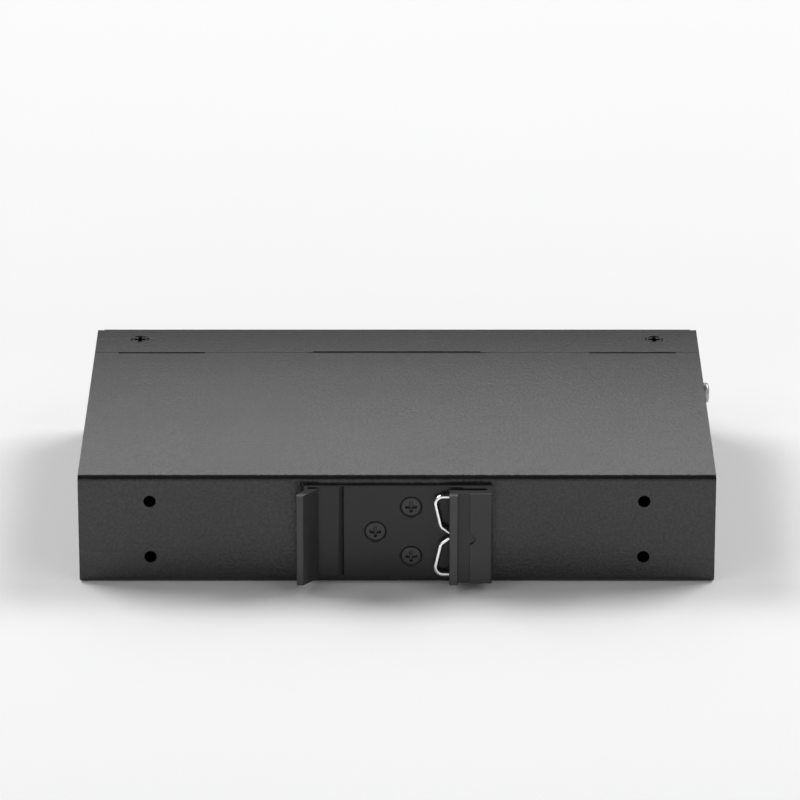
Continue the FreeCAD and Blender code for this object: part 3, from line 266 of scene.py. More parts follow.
@functools.cache
def pebble_grain():
    """Fine pebbles of a powder coat or a spark-eroded mould."""
    group, tree, given, made = new_effect(
        "Pebble grain", {"Size": "NodeSocketFloat"}, {"Height": "NodeSocketFloat"})
    spots = tree.shrunk(tree.place(), given["Size"])
    fine = tree.noise(spots, 1.0, 3.0)
    gaps = tree.add("ShaderNodeTexVoronoi", {"Vector": spots, "Scale": 0.8, "Smoothness": 0.7},
                    feature="SMOOTH_F1").outputs["Distance"]
    tree.feed(made["Height"], tree.maths("MULTIPLY_ADD", gaps, -GAP_DEPTH, fine))
    return group


@functools.cache
def handling():
    """Broad uneven patches that shift colour and gloss a little."""
    group, tree, given, made = new_effect(
        "Handling", {"Size": "NodeSocketFloat"}, {"Patch": "NodeSocketFloat"})
    spots = tree.shrunk(tree.place(), given["Size"])
    tree.feed(made["Patch"], tree.spread(tree.noise(spots, 1.0, 4.0), *PATCH_CONTRAST, 0.0, 1.0))
    return group


@functools.cache
def drawn_lines():
    """Long fine lines left by a die or a press, stretched by the given scale."""
    group, tree, given, made = new_effect(
        "Drawn lines", {"Stretch": "NodeSocketVector", "Pitch": "NodeSocketFloat"},
        {"Height": "NodeSocketFloat"})
    spots = tree.shrunk(tree.vector("MULTIPLY", tree.place(), given["Stretch"]), given["Pitch"])
    tree.feed(made["Height"], tree.noise(spots, 1.0, 3.0))
    return group


@functools.cache
def turned_rings():
    """Fine rings round the object's own Z axis, as a lathe leaves them."""
    group, tree, given, made = new_effect(
        "Turned rings", {"Pitch": "NodeSocketFloat"}, {"Height": "NodeSocketFloat"})
    spot = tree.axes(tree.place())
    turns = tree.maths("DIVIDE", tree.distance(spot["X"], spot["Y"]), given["Pitch"])
    angle = tree.maths("MULTIPLY", turns, FULL_TURN)
    tree.feed(made["Height"], tree.maths("SINE", angle))
    return group


@functools.cache
def soft_edge():
    """Normals that round a sharp edge over, and a mask of where they do."""
    group, tree, given, made = new_effect(
        "Soft edge", {"Radius": "NodeSocketFloat"},
        {"Edge": "NodeSocketFloat", "Normal": "NodeSocketVector"})
    rounded = tree.add("ShaderNodeBevel", {"Radius": given["Radius"]}, samples=6).outputs["Normal"]
    flat = tree.add("ShaderNodeNewGeometry").outputs["Normal"]
    likeness = tree.vector("DOT_PRODUCT", rounded, flat)
    tree.feed(made["Edge"], tree.spread(likeness, *EDGE_BEND, 0.0, 1.0))
    tree.feed(made["Normal"], rounded)
    return group


def toned(base, factor):
    """The colour with its strength changed, as a node socket's four numbers."""
    return (*(min(1.0, channel * factor) for channel in base), 1.0)


def finish(name, base, roughness, tone=0.12, gloss=0.05, patch=9 * MM, relief=None, relief_values=None,
           depth=0.0, edge=0.0, wear=1.0, paint=None, coat_gloss=None, matt=None, flake=None, sockets=None):
    """A procedural material: patches of tone and gloss, a relief from one effect and softened edges.

    paint, polish, matt and flake, if given, draw the base colour, the weight of a glossy coat, the least
    roughness and how metallic the relief is from the tree; the clip's glossy coat and the case's metallic
    also carry painted shade in recesses and gaps.
    wear is how much an edge is lightened.
    """
    material = bpy.data.materials.new(name)
    material.use_nodes = True
    material.node_tree.nodes.clear()
    tree = Tree(material.node_tree)
    shader = tree.add("ShaderNodeBsdfPrincipled", sockets)
    tree.add("ShaderNodeOutputMaterial", {"Surface": shader.outputs["BSDF"]})
    patches = tree.effect(handling(), Size=patch)["Patch"]
    if paint:
        shade = paint(tree, patches)
    else:
        shade = tree.mix(patches, toned(base, 1 - tone), toned(base, 1 + tone))
    normal = None
    if edge:
        soft = tree.effect(soft_edge(), Radius=edge)
        normal = soft["Normal"]
        if wear > 1.0:
            shade = tree.mix(soft["Edge"], shade, toned(base, wear))
    tree.feed(shader.inputs["Base Color"], shade)
    dullness = tree.spread(patches, 0.0, 1.0, roughness - gloss, roughness + gloss)
    if matt:
        dullness = tree.maths("MAXIMUM", dullness, matt(tree))
    tree.feed(shader.inputs["Roughness"], dullness)
    if coat_gloss:
        tree.feed(shader.inputs["Coat Weight"], coat_gloss(tree))
    if relief:
        height = tree.effect(relief(), **relief_values)["Height"]
        if flake:
            tree.feed(shader.inputs["Metallic"], flake(tree, height))
        bump = tree.add("ShaderNodeBump", {"Strength": 1.0, "Distance": depth, "Height": height})
        if normal:
            tree.feed(bump.inputs["Normal"], normal)
        normal = bump.outputs["Normal"]
    if normal:
        tree.feed(shader.inputs["Normal"], normal)
    return material


# Painted shade in the countersinks of the cover screws: the coat becomes a near-black metal without shine.
SEAT_FADE = (0.30 * MM, 0.55 * MM)
SEAT_SUNK = (0.02 * MM, 0.08 * MM)
SEAT_SHADE = (0.42, 0.85)
# Painted shade in the seam gap where the middle tab steps under the cover: the coat becomes a near-black
# metal there.
TAB_FADE = (22.0 * MM, 23.5 * MM)
FOLD_START = (-0.75 * MM, -0.60 * MM)
FOLD_END = (0.0, 0.05 * MM)
FOLD_SHADE = 0.9
FLAKE_HEIGHT = 0.5


def screw_seat_shade(tree, spot):
    """Painted shade round the cover screws and in their countersinks: how far the shine of the coat is
    taken away, so it turns near black there.
    """
    low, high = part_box("cover_screws")
    radius = (high.y - low.y) / 2
    across = tree.maths("SUBTRACT", tree.maths("ABSOLUTE", spot["X"]), high.x - radius)
    along = tree.maths("SUBTRACT", spot["Y"], low.y + radius)
    near, far = (radius + fade for fade in SEAT_FADE)
    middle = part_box("cover")[1].z / 2
    level = tree.maths("ABSOLUTE", tree.maths("SUBTRACT", spot["Z"], middle))
    # painted shade: where the coat sinks into a countersink, its shine is taken away
    dullness = tree.spread(tree.maths("SUBTRACT", middle, level), *SEAT_SUNK, *SEAT_SHADE)
    return tree.maths("MULTIPLY", dullness, tree.spread(tree.distance(across, along), near, far, 1.0, 0.0))


def tab_fold_shade(tree, spot):
    """Painted shade along the edge where the middle tab steps under the cover: how far the shine of the
    coat is taken away, so the seam gap turns near black.
    """
    tab = tree.spread(tree.maths("ABSOLUTE", spot["X"]), *TAB_FADE, 1.0, 0.0)
    seam = tree.maths("SUBTRACT", spot["Y"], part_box("front_chassis")[1].y - STRIP_DEPTH)
    begun = tree.spread(seam, *FOLD_START, 0.0, FOLD_SHADE)
    fold = tree.maths("MULTIPLY", begun, tree.spread(seam, *FOLD_END, 1.0, 0.0))
    return tree.maths("MULTIPLY", tab, fold)


def coat_flake_and_shade(settings):
    """Pebbles that are partly metallic, and painted shade in the countersinks and the seam gap: metal of
    the coat's near-black colour without shine.
    """
    def flake(tree, height):
        pebbles = tree.spread(height, 0.0, FLAKE_HEIGHT, 0.0, settings.flake)
        spot = tree.axes(tree.place())
        # painted shade in the countersinks and the seam gap, added to the metallic pebbles
        seat_and_seam_shade = tree.maths("MAXIMUM", screw_seat_shade(tree, spot), tab_fold_shade(tree, spot))
        return tree.maths("MAXIMUM", pebbles, seat_and_seam_shade)
    return flake


ENDS_SLOPE = (0.8, 0.95)
FLANKS_SLOPE = (0.6, 0.8)
CLIP_SUNK = (0.02 * MM, 0.20 * MM)
ENDS_ROUGHNESS = 0.9
FLANKS_ROUGHNESS = 0.8
SUNK_ROUGHNESS = 0.75
# Painted shade: the clip's glossy coat thins from its outermost faces into its channel, where shade falls.
SHADE_GLOSS_DEPTH = 2.0 * MM
SHADE_GLOSS = 0.65


def clip_recesses(tree):
    """Roughness of the clip's sawn ends and flanks, and of the groove and countersinks in its base."""
    normal = tree.axes(tree.add("ShaderNodeNewGeometry").outputs["Normal"])
    ends = tree.spread(tree.maths("ABSOLUTE", normal["Z"]), *ENDS_SLOPE, 0.0, ENDS_ROUGHNESS)
    flanks = tree.spread(tree.maths("ABSOLUTE", normal["X"]), *FLANKS_SLOPE, 0.0, FLANKS_ROUGHNESS)
    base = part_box("din_clip")[1].y - CLIP_BASE
    near, far = (base + depth for depth in CLIP_SUNK)
    sunk = tree.spread(tree.axes(tree.place())["Y"], near, far, 0.0, SUNK_ROUGHNESS)
    return tree.maths("MAXIMUM", tree.maths("MAXIMUM", ends, flanks), sunk)


def channel_shade_gloss(tree):
    """Painted shade: the glossy coat of the clip grows from its channel to its outermost faces, so the
    channel reflects less and looks shaded.
    """
    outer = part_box("din_clip")[0].y
    return tree.spread(tree.axes(tree.place())["Y"], outer + SHADE_GLOSS_DEPTH, outer, 0.0, SHADE_GLOSS)


def paint_board(settings):
    """Solder mask with the copper showing through as paler tracks and flooded areas."""
    flooded, flood_strength = 0.56, 0.8

    def paint(tree, patches):
        spots = tree.place()
        tracks = tree.add("ShaderNodeTexBrick", {
            "Vector": spots, "Scale": 160.0, "Mortar Size": 0.12, "Brick Width": 1.7, "Row Height": 0.34,
            "Color1": toned(settings.board, 1.0), "Color2": toned(settings.board, 1.15),
            "Mortar": toned(settings.track, 1.0)})
        flood = tree.maths("GREATER_THAN", tree.noise(spots, 55.0, 1.0), flooded)
        strength = tree.maths("MULTIPLY", flood, flood_strength)
        return tree.mix(strength, tracks.outputs["Color"], toned(settings.track, 1.1))
    return paint


def paint_sleeve(settings, metals):
    """Dark sleeve with a bare can top."""
    sleeve_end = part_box("capacitors")[1].z - 0.3 * MM

    def paint(tree, patches):
        above = tree.maths("GREATER_THAN", tree.axes(tree.place())["Z"], sleeve_end)
        sleeve = tree.mix(patches, toned(settings.sleeve, 0.85), toned(settings.sleeve, 1.2))
        return tree.mix(above, sleeve, toned(metals.aluminium, 0.9))
    return paint


def paint_fuse(settings, metals):
    """White body between two tinned ends."""
    body_share = 0.6
    low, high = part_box("input_fuse")
    middle = (low.x + high.x) / 2
    body = (high.x - low.x) / 2 * body_share

    def paint(tree, patches):
        along = tree.maths("ABSOLUTE", tree.maths("SUBTRACT", tree.axes(tree.place())["X"], middle))
        white = tree.mix(patches, toned(settings.ceramic, 0.94), toned(settings.ceramic, 1.04))
        return tree.mix(tree.maths("GREATER_THAN", along, body), white, toned(metals.tinned, 1.0))
    return paint


@functools.cache
def finishes():
    """Every material by the slot that it finishes."""
    scene = bpy.context.scene
    case, metals, mould = scene.converter_case, scene.converter_metals, scene.converter_mouldings
    grain = dict(relief=pebble_grain, relief_values={"Size": case.grain}, depth=case.grain_depth)
    mould_grain = dict(relief=pebble_grain, relief_values={"Size": 0.25 * MM}, depth=0.004 * MM,
                       edge=0.15 * MM)
    along_z = Vector((1.0, 1.0, 0.02))
    along_y = Vector((1.0, 0.02, 1.0))
    lines = dict(relief=drawn_lines, depth=0.002 * MM, edge=0.08 * MM)
    rings = dict(relief=turned_rings, relief_values={"Pitch": 0.12 * MM}, depth=0.0015 * MM,
                 edge=0.06 * MM)
    bore_shade_rings = dict(patch=1 * MM, relief=turned_rings, relief_values={"Pitch": 0.2 * MM}, depth=0.002 * MM)
    metal = {"Metallic": 1.0}
    return {
        "case_paint": finish("Powder coat", case.coat, case.coat_roughness, tone=0.05, gloss=0.012,
                             patch=30 * MM, edge=case.edge_round, flake=coat_flake_and_shade(case),
                             sockets={"IOR": 1.68}, **grain),
        # painted shade: the clip's glossy coat is thinner in its channel
        "clip_black": finish("Clip paint", case.clip, case.clip_roughness, relief=drawn_lines,
                             relief_values={"Stretch": along_z, "Pitch": case.line_pitch},
                             depth=0.0015 * MM, edge=case.edge_round, coat_gloss=channel_shade_gloss,
                             matt=clip_recesses, sockets={"IOR": 1.43, "Coat Roughness": 0.30}),
        "spring_steel": finish("Bright wire", metals.wire, 0.18, tone=0.02, relief=drawn_lines,
                               relief_values={"Stretch": Vector((1, 1, 1)), "Pitch": 0.4 * MM},
                               depth=0.002 * MM, sockets=metal),
        "black_steel": finish("Blackened steel", metals.blackened, 0.42, wear=1.8, patch=2 * MM,
                              sockets={"IOR": 1.58}, **rings),
        "oiled_steel": finish("Oiled steel", metals.blackened, 0.5, patch=2 * MM,
                              sockets={"IOR": 1.47}, **rings),
        # Painted shade: recesses and bores get a near-black finish that barely reflects.
        "dark_recess": finish("Recess painted shade", metals.bore, 0.45, sockets={"IOR": 1.45}, **bore_shade_rings),
        "dark_bore": finish("Bore painted shade", metals.bore, 0.7, sockets={"IOR": 1.05}, **bore_shade_rings),
        "plated_steel": finish("Zinc plate", metals.plated, 0.40, patch=3 * MM, sockets=metal, **rings),
        "shield_metal": finish("Tinned sheet", metals.tinned, 0.30, tone=0.06, sockets=metal,
                               relief_values={"Stretch": along_y, "Pitch": 0.15 * MM}, **lines),
        "contact_gold": finish("Gold plate", metals.gold, 0.22, tone=0.06, patch=1 * MM, sockets=metal,
                               relief_values={"Stretch": along_y, "Pitch": 0.1 * MM}, **lines),
        "sink_aluminium": finish("Sink aluminium", metals.aluminium, 0.38, sockets=metal,
                                 relief_values={"Stretch": along_y, "Pitch": 0.2 * MM}, **lines),
        "black_plastic": finish("Black moulding", mould.black, 0.46, **mould_grain),
        "terminal_green": finish("Green moulding", mould.green, 0.42, tone=0.08, **mould_grain),
        "clear_plastic": finish("Clear moulding", mould.clear, 0.14, tone=0.03, gloss=0.03,
                                sockets={"Transmission Weight": 0.6, "IOR": 1.49}, **mould_grain),
        "lamp_lens": finish("Lamp lens", mould.lamp, 0.30, patch=1 * MM, **mould_grain),
        "board_green": finish("Solder mask", mould.board, 0.34, paint=paint_board(mould),
                              relief=pebble_grain, relief_values={"Size": 0.5 * MM}, depth=0.004 * MM),
        "chip_black": finish("Chip moulding", mould.chip, 0.5, **mould_grain),
        "ferrite": finish("Ferrite", mould.ferrite, 0.6, relief=pebble_grain,
                          relief_values={"Size": 0.2 * MM}, depth=0.01 * MM, edge=0.1 * MM),
        "coil_tape": finish("Coil tape", mould.tape, 0.28, tone=0.2, patch=2 * MM, relief=drawn_lines,
                            relief_values={"Stretch": along_y, "Pitch": 0.5 * MM}, depth=0.01 * MM),
        "capacitor_sleeve": finish("Capacitor sleeve", mould.sleeve, 0.35,
                                   paint=paint_sleeve(mould, metals), relief=pebble_grain,
                                   relief_values={"Size": 0.8 * MM}, depth=0.006 * MM),
        "fuse_ceramic": finish("Fuse ceramic", mould.ceramic, 0.4, paint=paint_fuse(mould, metals),
                               relief=pebble_grain, relief_values={"Size": 0.3 * MM}, depth=0.004 * MM),
    }


def dress(*names):
    """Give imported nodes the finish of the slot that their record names."""
    for name in names:
        mesh = NODES[name].data
        mesh.materials[0] = finishes()[mesh.materials[0].name.split(".")[0]]


def solid_boxes(name):
    """Lowest and highest corner of each separate solid of a node."""
    mesh = bmesh.new()
    mesh.from_mesh(NODES[name].data)
    bmesh.ops.remove_doubles(mesh, verts=mesh.verts, dist=WELD)
    left = set(mesh.verts)
    boxes = []
    while left:
        reached = {left.pop()}
        edge_of_search = list(reached)
        while edge_of_search:
            corner = edge_of_search.pop()
            near = {link.other_vert(corner) for link in corner.link_edges} - reached
            reached |= near
            edge_of_search.extend(near)
        left -= reached
        spots = [corner.co for corner in reached]
        boxes.append((Vector(map(min, *spots)), Vector(map(max, *spots))))
    mesh.free()
    return sorted(boxes, key=lambda pair: tuple(round(v, 5) for v in pair[0]))


def add_piece(name, mesh, slot, place=Matrix(), stands_for=(), inside=None, outside=None):
    """Make a shown piece from a bmesh, ride it on the housing and finish it.

    inside finishes its recesses, and outside the rest, where that isn't the finish of its slot.
    """
    bmesh.ops.recalc_face_normals(mesh, faces=mesh.faces)
    data = bpy.data.meshes.new(name)
    mesh.to_mesh(data)
    mesh.free()
    data.shade_smooth()
    data.set_sharp_from_angle(angle=SHARP_ANGLE)
    data.materials.append(finishes()[outside or slot])
    if inside:
        data.materials.append(finishes()[inside])
    piece = bpy.data.objects.new(name, data)
    bpy.context.scene.collection.objects.link(piece)
    piece.matrix_world = place
    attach(piece, HOUSING)
    if stands_for:
        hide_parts(*stands_for)
    return piece


def loop_of(mesh, spots):
    """New corners at the given places."""
    return [mesh.verts.new(spot) for spot in spots]


def band(mesh, first, second):
    """Faces between two closed loops of equal count."""
    for index, corner in enumerate(first):
        follow = (index + 1) % len(first)
        mesh.faces.new((corner, first[follow], second[follow], second[index]))


def ring(radius, level, count):
    """Places round a circle."""
    angles = [FULL_TURN * step / count for step in range(count)]
    return [(radius * math.cos(angle), radius * math.sin(angle), level) for angle in angles]


def quarter_turn(steps):
    """Angles from 0 to 90 degrees."""
    return [math.radians(90 * step / steps) for step in range(steps + 1)]


def thread_rings(radius, depth, pitch, low, high, count, rows_per_turn=8):
    """Rings of a helical thread between two levels, fading out at both ends."""
    rows = round((high - low) / pitch * rows_per_turn)
    rings = []
    for row in range(rows + 1):
        level = low + (high - low) * row / rows
        fade = min(1.0, (level - low) / pitch, (high - level) / pitch)
        spots = []
        for step in range(count):
            phase = (level / pitch + step / count) % 1.0
            rise = abs(2 * phase - 1)
            reach = radius + depth * rise * fade
            angle = FULL_TURN * step / count
            spots.append((reach * math.cos(angle), reach * math.sin(angle), level))
        rings.append(spots)
    return rings


WING_BLUNT = 0.35
CROWN_FLAT = 0.74
CROWN_SINK = 0.3


def cross_spots(reach, half_width, fillet, level, steps=5):
    """Outline of a cross recess with blunt wings and rounded inner corners."""
    blunt = half_width * WING_BLUNT
    quarter = [(reach - blunt, -half_width), (reach, blunt - half_width),
               (reach, half_width - blunt), (reach - blunt, half_width)]
    centre = half_width + fillet
    for angle in quarter_turn(steps):
        quarter.append((centre - fillet * math.sin(angle), centre - fillet * math.cos(angle)))
    spots = []
    for turn in range(4):
        spin = Matrix.Rotation(FULL_TURN * turn / 4, 2)
        spots.extend((*(spin @ Vector(spot)), level) for spot in quarter)
    return spots


class Recess(NamedTuple):
    """A cross recess: its floor keeps a share of the reach, the width and the fillet of its wings."""

    wing: float
    reach: float
    depth: float
    floor_reach: float
    floor_width: float = 0.85
    floor_fillet: float = 0.3
    floor_depth: float = 0.8


def screw_mesh(settings, head, thread_radius, tail, recess):
    """A screw about Z: head lists radius and level of its profile from the top down to the thread."""
    mesh = bmesh.new()
    top = head[0][1]
    rings = [loop_of(mesh, ring(radius, level, ROUND_STEPS)) for radius, level in head]
    shank = thread_rings(thread_radius - settings.thread_depth, settings.thread_depth,
                         settings.thread_pitch, tail, head[-1][1], ROUND_STEPS)
    rings.extend(loop_of(mesh, spots) for spots in reversed(shank))
    for first, second in zip(rings, rings[1:]):
        band(mesh, first, second)
    mesh.faces.new(rings[-1])
    half_width = recess.wing / 2
    fillet = settings.wing_fillet
    rim = settings.rim
    sizes = [
        (recess.reach + rim, half_width + rim, fillet - rim, top),
        (recess.reach, half_width, fillet, top - rim),
        (recess.reach * recess.floor_reach, half_width * recess.floor_width,
         fillet * recess.floor_fillet, top - recess.depth * recess.floor_depth),
    ]
    outside = len(mesh.faces)
    outlines = [loop_of(mesh, cross_spots(*size)) for size in sizes]
    for first, second in zip(outlines, outlines[1:]):
        band(mesh, first, second)
    tip = mesh.verts.new((0, 0, top - recess.depth))
    floor = outlines[-1]
    for index, corner in enumerate(floor):
        mesh.faces.new((corner, floor[(index + 1) % len(floor)], tip))
    mesh.faces.ensure_lookup_table()
    for face in mesh.faces[outside + len(floor):]:
        face.material_index = 1
    edges = [mesh.edges.get(pair) for loop in (outlines[0], rings[0])
             for pair in zip(loop, loop[1:] + loop[:1])]
    bmesh.ops.triangle_fill(mesh, edges=edges, use_beauty=True)
    return mesh


def raised_head(radius, rise, cone, thread_radius, steps=6):
    """Profile of a countersunk head whose crown rises above level 0."""
    flat = radius * CROWN_FLAT
    profile = [(flat + (radius - flat) * math.sin(angle), rise * math.cos(angle))
               for angle in quarter_turn(steps)]
    return profile + [(radius, -rise * CROWN_SINK), (thread_radius, -cone)]


def domed_head(radius, height, thread_radius, round_radius, steps=8):
    """Profile of a pan head that stands on level 0."""
    inner = radius - round_radius
    lower = height - round_radius
    profile = [(inner + round_radius * math.sin(angle), lower + round_radius * math.cos(angle))
               for angle in quarter_turn(steps)]
    return profile + [(radius, 0.0), (thread_radius, 0.0)]


def front_discs(name):
    """Lowest and highest corner of each round face at the very front of a node."""
    least_gap = 0.5 * MM
    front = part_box(name)[1].y - WELD
    corners = NODES[name].data.vertices
    spots = sorted(tuple(corner.co) for corner in corners if corner.co.y > front)
    discs = [[spots[0]]]
    for spot in spots[1:]:
        if spot[0] - discs[-1][-1][0] > least_gap:
            discs.append([])
        discs[-1].append(spot)
    return [(Vector(map(min, *disc)), Vector(map(max, *disc))) for disc in discs]


def dome_mesh(radius, height, rows=6, count=32):
    """A closed dome that stands on level 0."""
    mesh = bmesh.new()
    loops = [loop_of(mesh, ring(radius * math.cos(angle), height * math.sin(angle), count))
             for angle in quarter_turn(rows)[:-1]]
    for first, second in zip(loops, loops[1:]):
        band(mesh, first, second)
    tip = mesh.verts.new((0, 0, height))
    for index, corner in enumerate(loops[-1]):
        mesh.faces.new((corner, loops[-1][(index + 1) % count], tip))
    mesh.faces.new(loops[0])
    return mesh


def add_finger(mesh, middle, width, rise, run, steps=10):
    """Add a bowed spring finger to a mesh: width, rise and run are vectors about its middle."""
    arch = []
    for step in range(steps + 1):
        angle = math.pi * step / steps
        arch.append(middle + rise * math.sin(angle) + run * math.cos(angle) / 2)
    ends = [loop_of(mesh, [spot + side * width / 2 for spot in arch]) for side in (-1, 1)]
    band(mesh, *ends)
    for end in ends:
        mesh.faces.new(end)


def facing(direction, spot):
    """Placement that turns +Z to a direction and moves the origin to a spot."""
    turn = Vector((0, 0, 1)).rotation_difference(Vector(direction))
    return Matrix.Translation(spot) @ turn.to_matrix().to_4x4()


class CONVERTER_OT_case(bpy.types.Operator):
    """Finish the folded cover and the front chassis"""

    bl_idname = "converter.case"
    bl_label = "Case"

    def execute(self, context):
        dress("cover", "front_chassis")
        return {"FINISHED"}


class CONVERTER_OT_rail_clip(bpy.types.Operator):
    """Finish the extruded rail clip and its wire spring"""

    bl_idname = "converter.rail_clip"
    bl_label = "Rail clip and spring"

    def execute(self, context):
        dress("din_clip", "clip_spring")
        return {"FINISHED"}


class CONVERTER_OT_case_screws(bpy.types.Operator):
    """Make the countersunk screws of the cover and the clip"""

    bl_idname = "converter.case_screws"
    bl_label = "Case screws"

    COVER_THREAD = 1.25 * MM
    CLIP_THREAD = 1.5 * MM
    COVER_CONE = 0.5 * MM
    CLIP_CONE = 0.95 * MM
    COVER_RISE = 0.25 * MM
    COVER_FLOOR = 0.45
    CLIP_FLOOR = 0.9

    def add_cover_screws(self, settings):
        """Four screws, two from above and two from below."""
        recess = Recess(settings.cover_wing, settings.cover_reach, settings.cover_recess, self.COVER_FLOOR)
        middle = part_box("cover")[1].z / 2
        for number, (low, high) in enumerate(solid_boxes("cover_screws"), 1):
            centre = (low + high) / 2
            up = 1 if centre.z > middle else -1
            spot = Vector((centre.x, centre.y, high.z if up > 0 else low.z))
            head = raised_head((high.x - low.x) / 2, self.COVER_RISE, self.COVER_CONE, self.COVER_THREAD)
            mesh = screw_mesh(settings, head, self.COVER_THREAD, low.z - high.z, recess)
            # painted shade: the recess of each cover screw takes the near-black bore finish
            add_piece(f"cover_screw_{number}", mesh, "black_steel", facing((0, 0, up), spot),
                      ["cover_screws"], inside="dark_bore", outside="oiled_steel")

    def add_clip_screws(self, settings):
        """Screws whose crowns end flush with the base of the clip."""
        recess = Recess(settings.wing_width, settings.wing_reach, settings.recess_depth, self.CLIP_FLOOR)
        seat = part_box("din_clip")[1].y - CLIP_BASE
        for number, (low, high) in enumerate(solid_boxes("clip_screws"), 1):
            centre = (low + high) / 2
            spot = Vector((centre.x, low.y, centre.z))
            head = raised_head((high.x - low.x) / 2, low.y - seat, self.CLIP_CONE, self.CLIP_THREAD)
            mesh = screw_mesh(settings, head, self.CLIP_THREAD, low.y - high.y, recess)
            add_piece(f"clip_screw_{number}", mesh, "black_steel", facing((0, -1, 0), spot),
                      ["clip_screws"], inside="black_steel")

    def execute(self, context):
        settings = context.scene.converter_screws
        self.add_cover_screws(settings)
        self.add_clip_screws(settings)
        return {"FINISHED"}


class CONVERTER_OT_wall_holes(bpy.types.Operator):
    """Cut threads into the four holes of the rear wall and finish the nuts behind the wall"""

    bl_idname = "converter.wall_holes"
    bl_label = "Threaded wall holes"

    HOLE_RADIUS = 1.5 * MM
    SINK = 0.06 * MM
    OVERLAP = 0.04 * MM

    def execute(self, context):
        settings = context.scene.converter_screws
        dress("wall_mount_nuts", "clip_nuts")
        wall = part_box("cover")[0].y
        for number, (low, high) in enumerate(solid_boxes("wall_mount_nuts"), 1):
            centre = (low + high) / 2
            depth = high.y - wall
            mesh = bmesh.new()
            inner = thread_rings(self.HOLE_RADIUS - settings.thread_depth, settings.thread_depth,
                                 settings.thread_pitch, -depth, -self.SINK, ROUND_STEPS)
            outer = self.HOLE_RADIUS + self.OVERLAP
            loops = [loop_of(mesh, spots) for spots in inner]
            loops += [loop_of(mesh, ring(outer, level, ROUND_STEPS)) for level in (-self.SINK, -depth)]
            for first, second in zip(loops, loops[1:] + loops[:1]):
                band(mesh, first, second)
            # painted shade: every face of the thread takes the near-black bore finish
            for face in mesh.faces:
                face.material_index = 1
            add_piece(f"wall_hole_thread_{number}", mesh, "black_steel",
                      facing((0, -1, 0), Vector((centre.x, wall, centre.z))), inside="dark_bore")
        return {"FINISHED"}


class CONVERTER_OT_earth_screw(bpy.types.Operator):
    """Make the domed earth screw and finish its washers and nut"""

    bl_idname = "converter.earth_screw"
    bl_label = "Earth screw"

    HEAD_HEIGHT = 1.9 * MM
    THREAD = 1.5 * MM
    ROUND = 0.8 * MM
    RECESS_FLOOR = 0.9

    def execute(self, context):
        settings = context.scene.converter_screws
        dress("earth_spring_washer", "earth_washer", "earth_nut")
        low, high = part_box("earth_screw")
        centre = (low + high) / 2
        head = domed_head((high.z - low.z) / 2, self.HEAD_HEIGHT, self.THREAD, self.ROUND)
        tail = self.HEAD_HEIGHT - (high.x - low.x)
        recess = Recess(settings.wing_width, settings.wing_reach, settings.recess_depth, self.RECESS_FLOOR)
        mesh = screw_mesh(settings, head, self.THREAD, tail, recess)
        seat = Vector((high.x - self.HEAD_HEIGHT, centre.y, centre.z))
        # painted shade: the recess of the earth screw takes the near-black recess finish
        add_piece("earth_screw_head", mesh, "plated_steel", facing((1, 0, 0), seat), ["earth_screw"],
                  inside="dark_recess")
        return {"FINISHED"}


class CONVERTER_OT_ports(bpy.types.Operator):
    """Finish the network jack, the fibre slot and the indicators, with their lenses and earthing fingers"""

    bl_idname = "converter.ports"
    bl_label = "Ports and indicators"

    LENS_RISE = 0.5 * MM
    LENS_SINK = 0.05 * MM
    FINGER_RUN = 0.66 * MM
    FINGER_RISE = 0.32 * MM
    FINGER_FILL = 0.62

    def add_lenses(self):
        """Domed tips on the ends of the light pipe."""
        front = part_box("light_pipe")[1].y
        for number, (low, high) in enumerate(front_discs("light_pipe"), 1):
            centre = (low + high) / 2
            mesh = dome_mesh((high.x - low.x) / 2, self.LENS_RISE)
            spot = Vector((centre.x, front - self.LENS_SINK, centre.z))
            add_piece(f"indicator_lens_{number}", mesh, "clear_plastic", facing((0, 1, 0), spot))

    def add_fingers(self):
        """Bowed earthing fingers on all four sides of the fibre slot, in front of the wall."""
        low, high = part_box("fibre_cage")
        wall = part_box("front_chassis")[1].y
        centre = (low + high) / 2
        centre.y = (wall + high.y) / 2
        half = (high - low) / 2
        sides = ((Vector((0, 0, 1)), Vector((1, 0, 0)), half.z, half.x, 4),
                 (Vector((1, 0, 0)), Vector((0, 0, 1)), half.x, half.z, 3))
        mesh = bmesh.new()
        for outward, along, reach, span, count in sides:
            width = 2 * span / count * self.FINGER_FILL
            for side in (-1, 1):
                for step in range(count):
                    offset = span * ((2 * step + 1) / count - 1)
                    middle = centre + side * reach * outward + along * offset
                    add_finger(mesh, middle, along * width, side * outward * self.FINGER_RISE,
                               Vector((0, self.FINGER_RUN, 0)))
        add_piece("fibre_cage_fingers", mesh, "shield_metal")

    def execute(self, context):
        dress("network_jack_shield", "network_jack_insert", "network_jack_contacts", "fibre_cage",
              "fibre_connector", "light_pipe", "indicator_leds")
        self.add_lenses()
        self.add_fingers()
        return {"FINISHED"}


class CONVERTER_OT_terminal(bpy.types.Operator):
    """Finish the pluggable power terminal"""

    bl_idname = "converter.terminal"
    bl_label = "Power terminal"

    def execute(self, context):
        dress("terminal_header", "terminal_pins", "terminal_plug", "terminal_clamps", "terminal_screws")
        return {"FINISHED"}


class CONVERTER_OT_board(bpy.types.Operator):
    """Finish the circuit board and what stands on it"""

    bl_idname = "converter.board"
    bl_label = "Circuit board"

    def execute(self, context):
        dress("circuit_board", "standoffs", "board_screws", "converter_chip", "chip_heat_sink",
              "line_transformer", "crystal", "transformer_core", "transformer_coil", "capacitors",
              "power_inductor", "input_fuse")
        return {"FINISHED"}


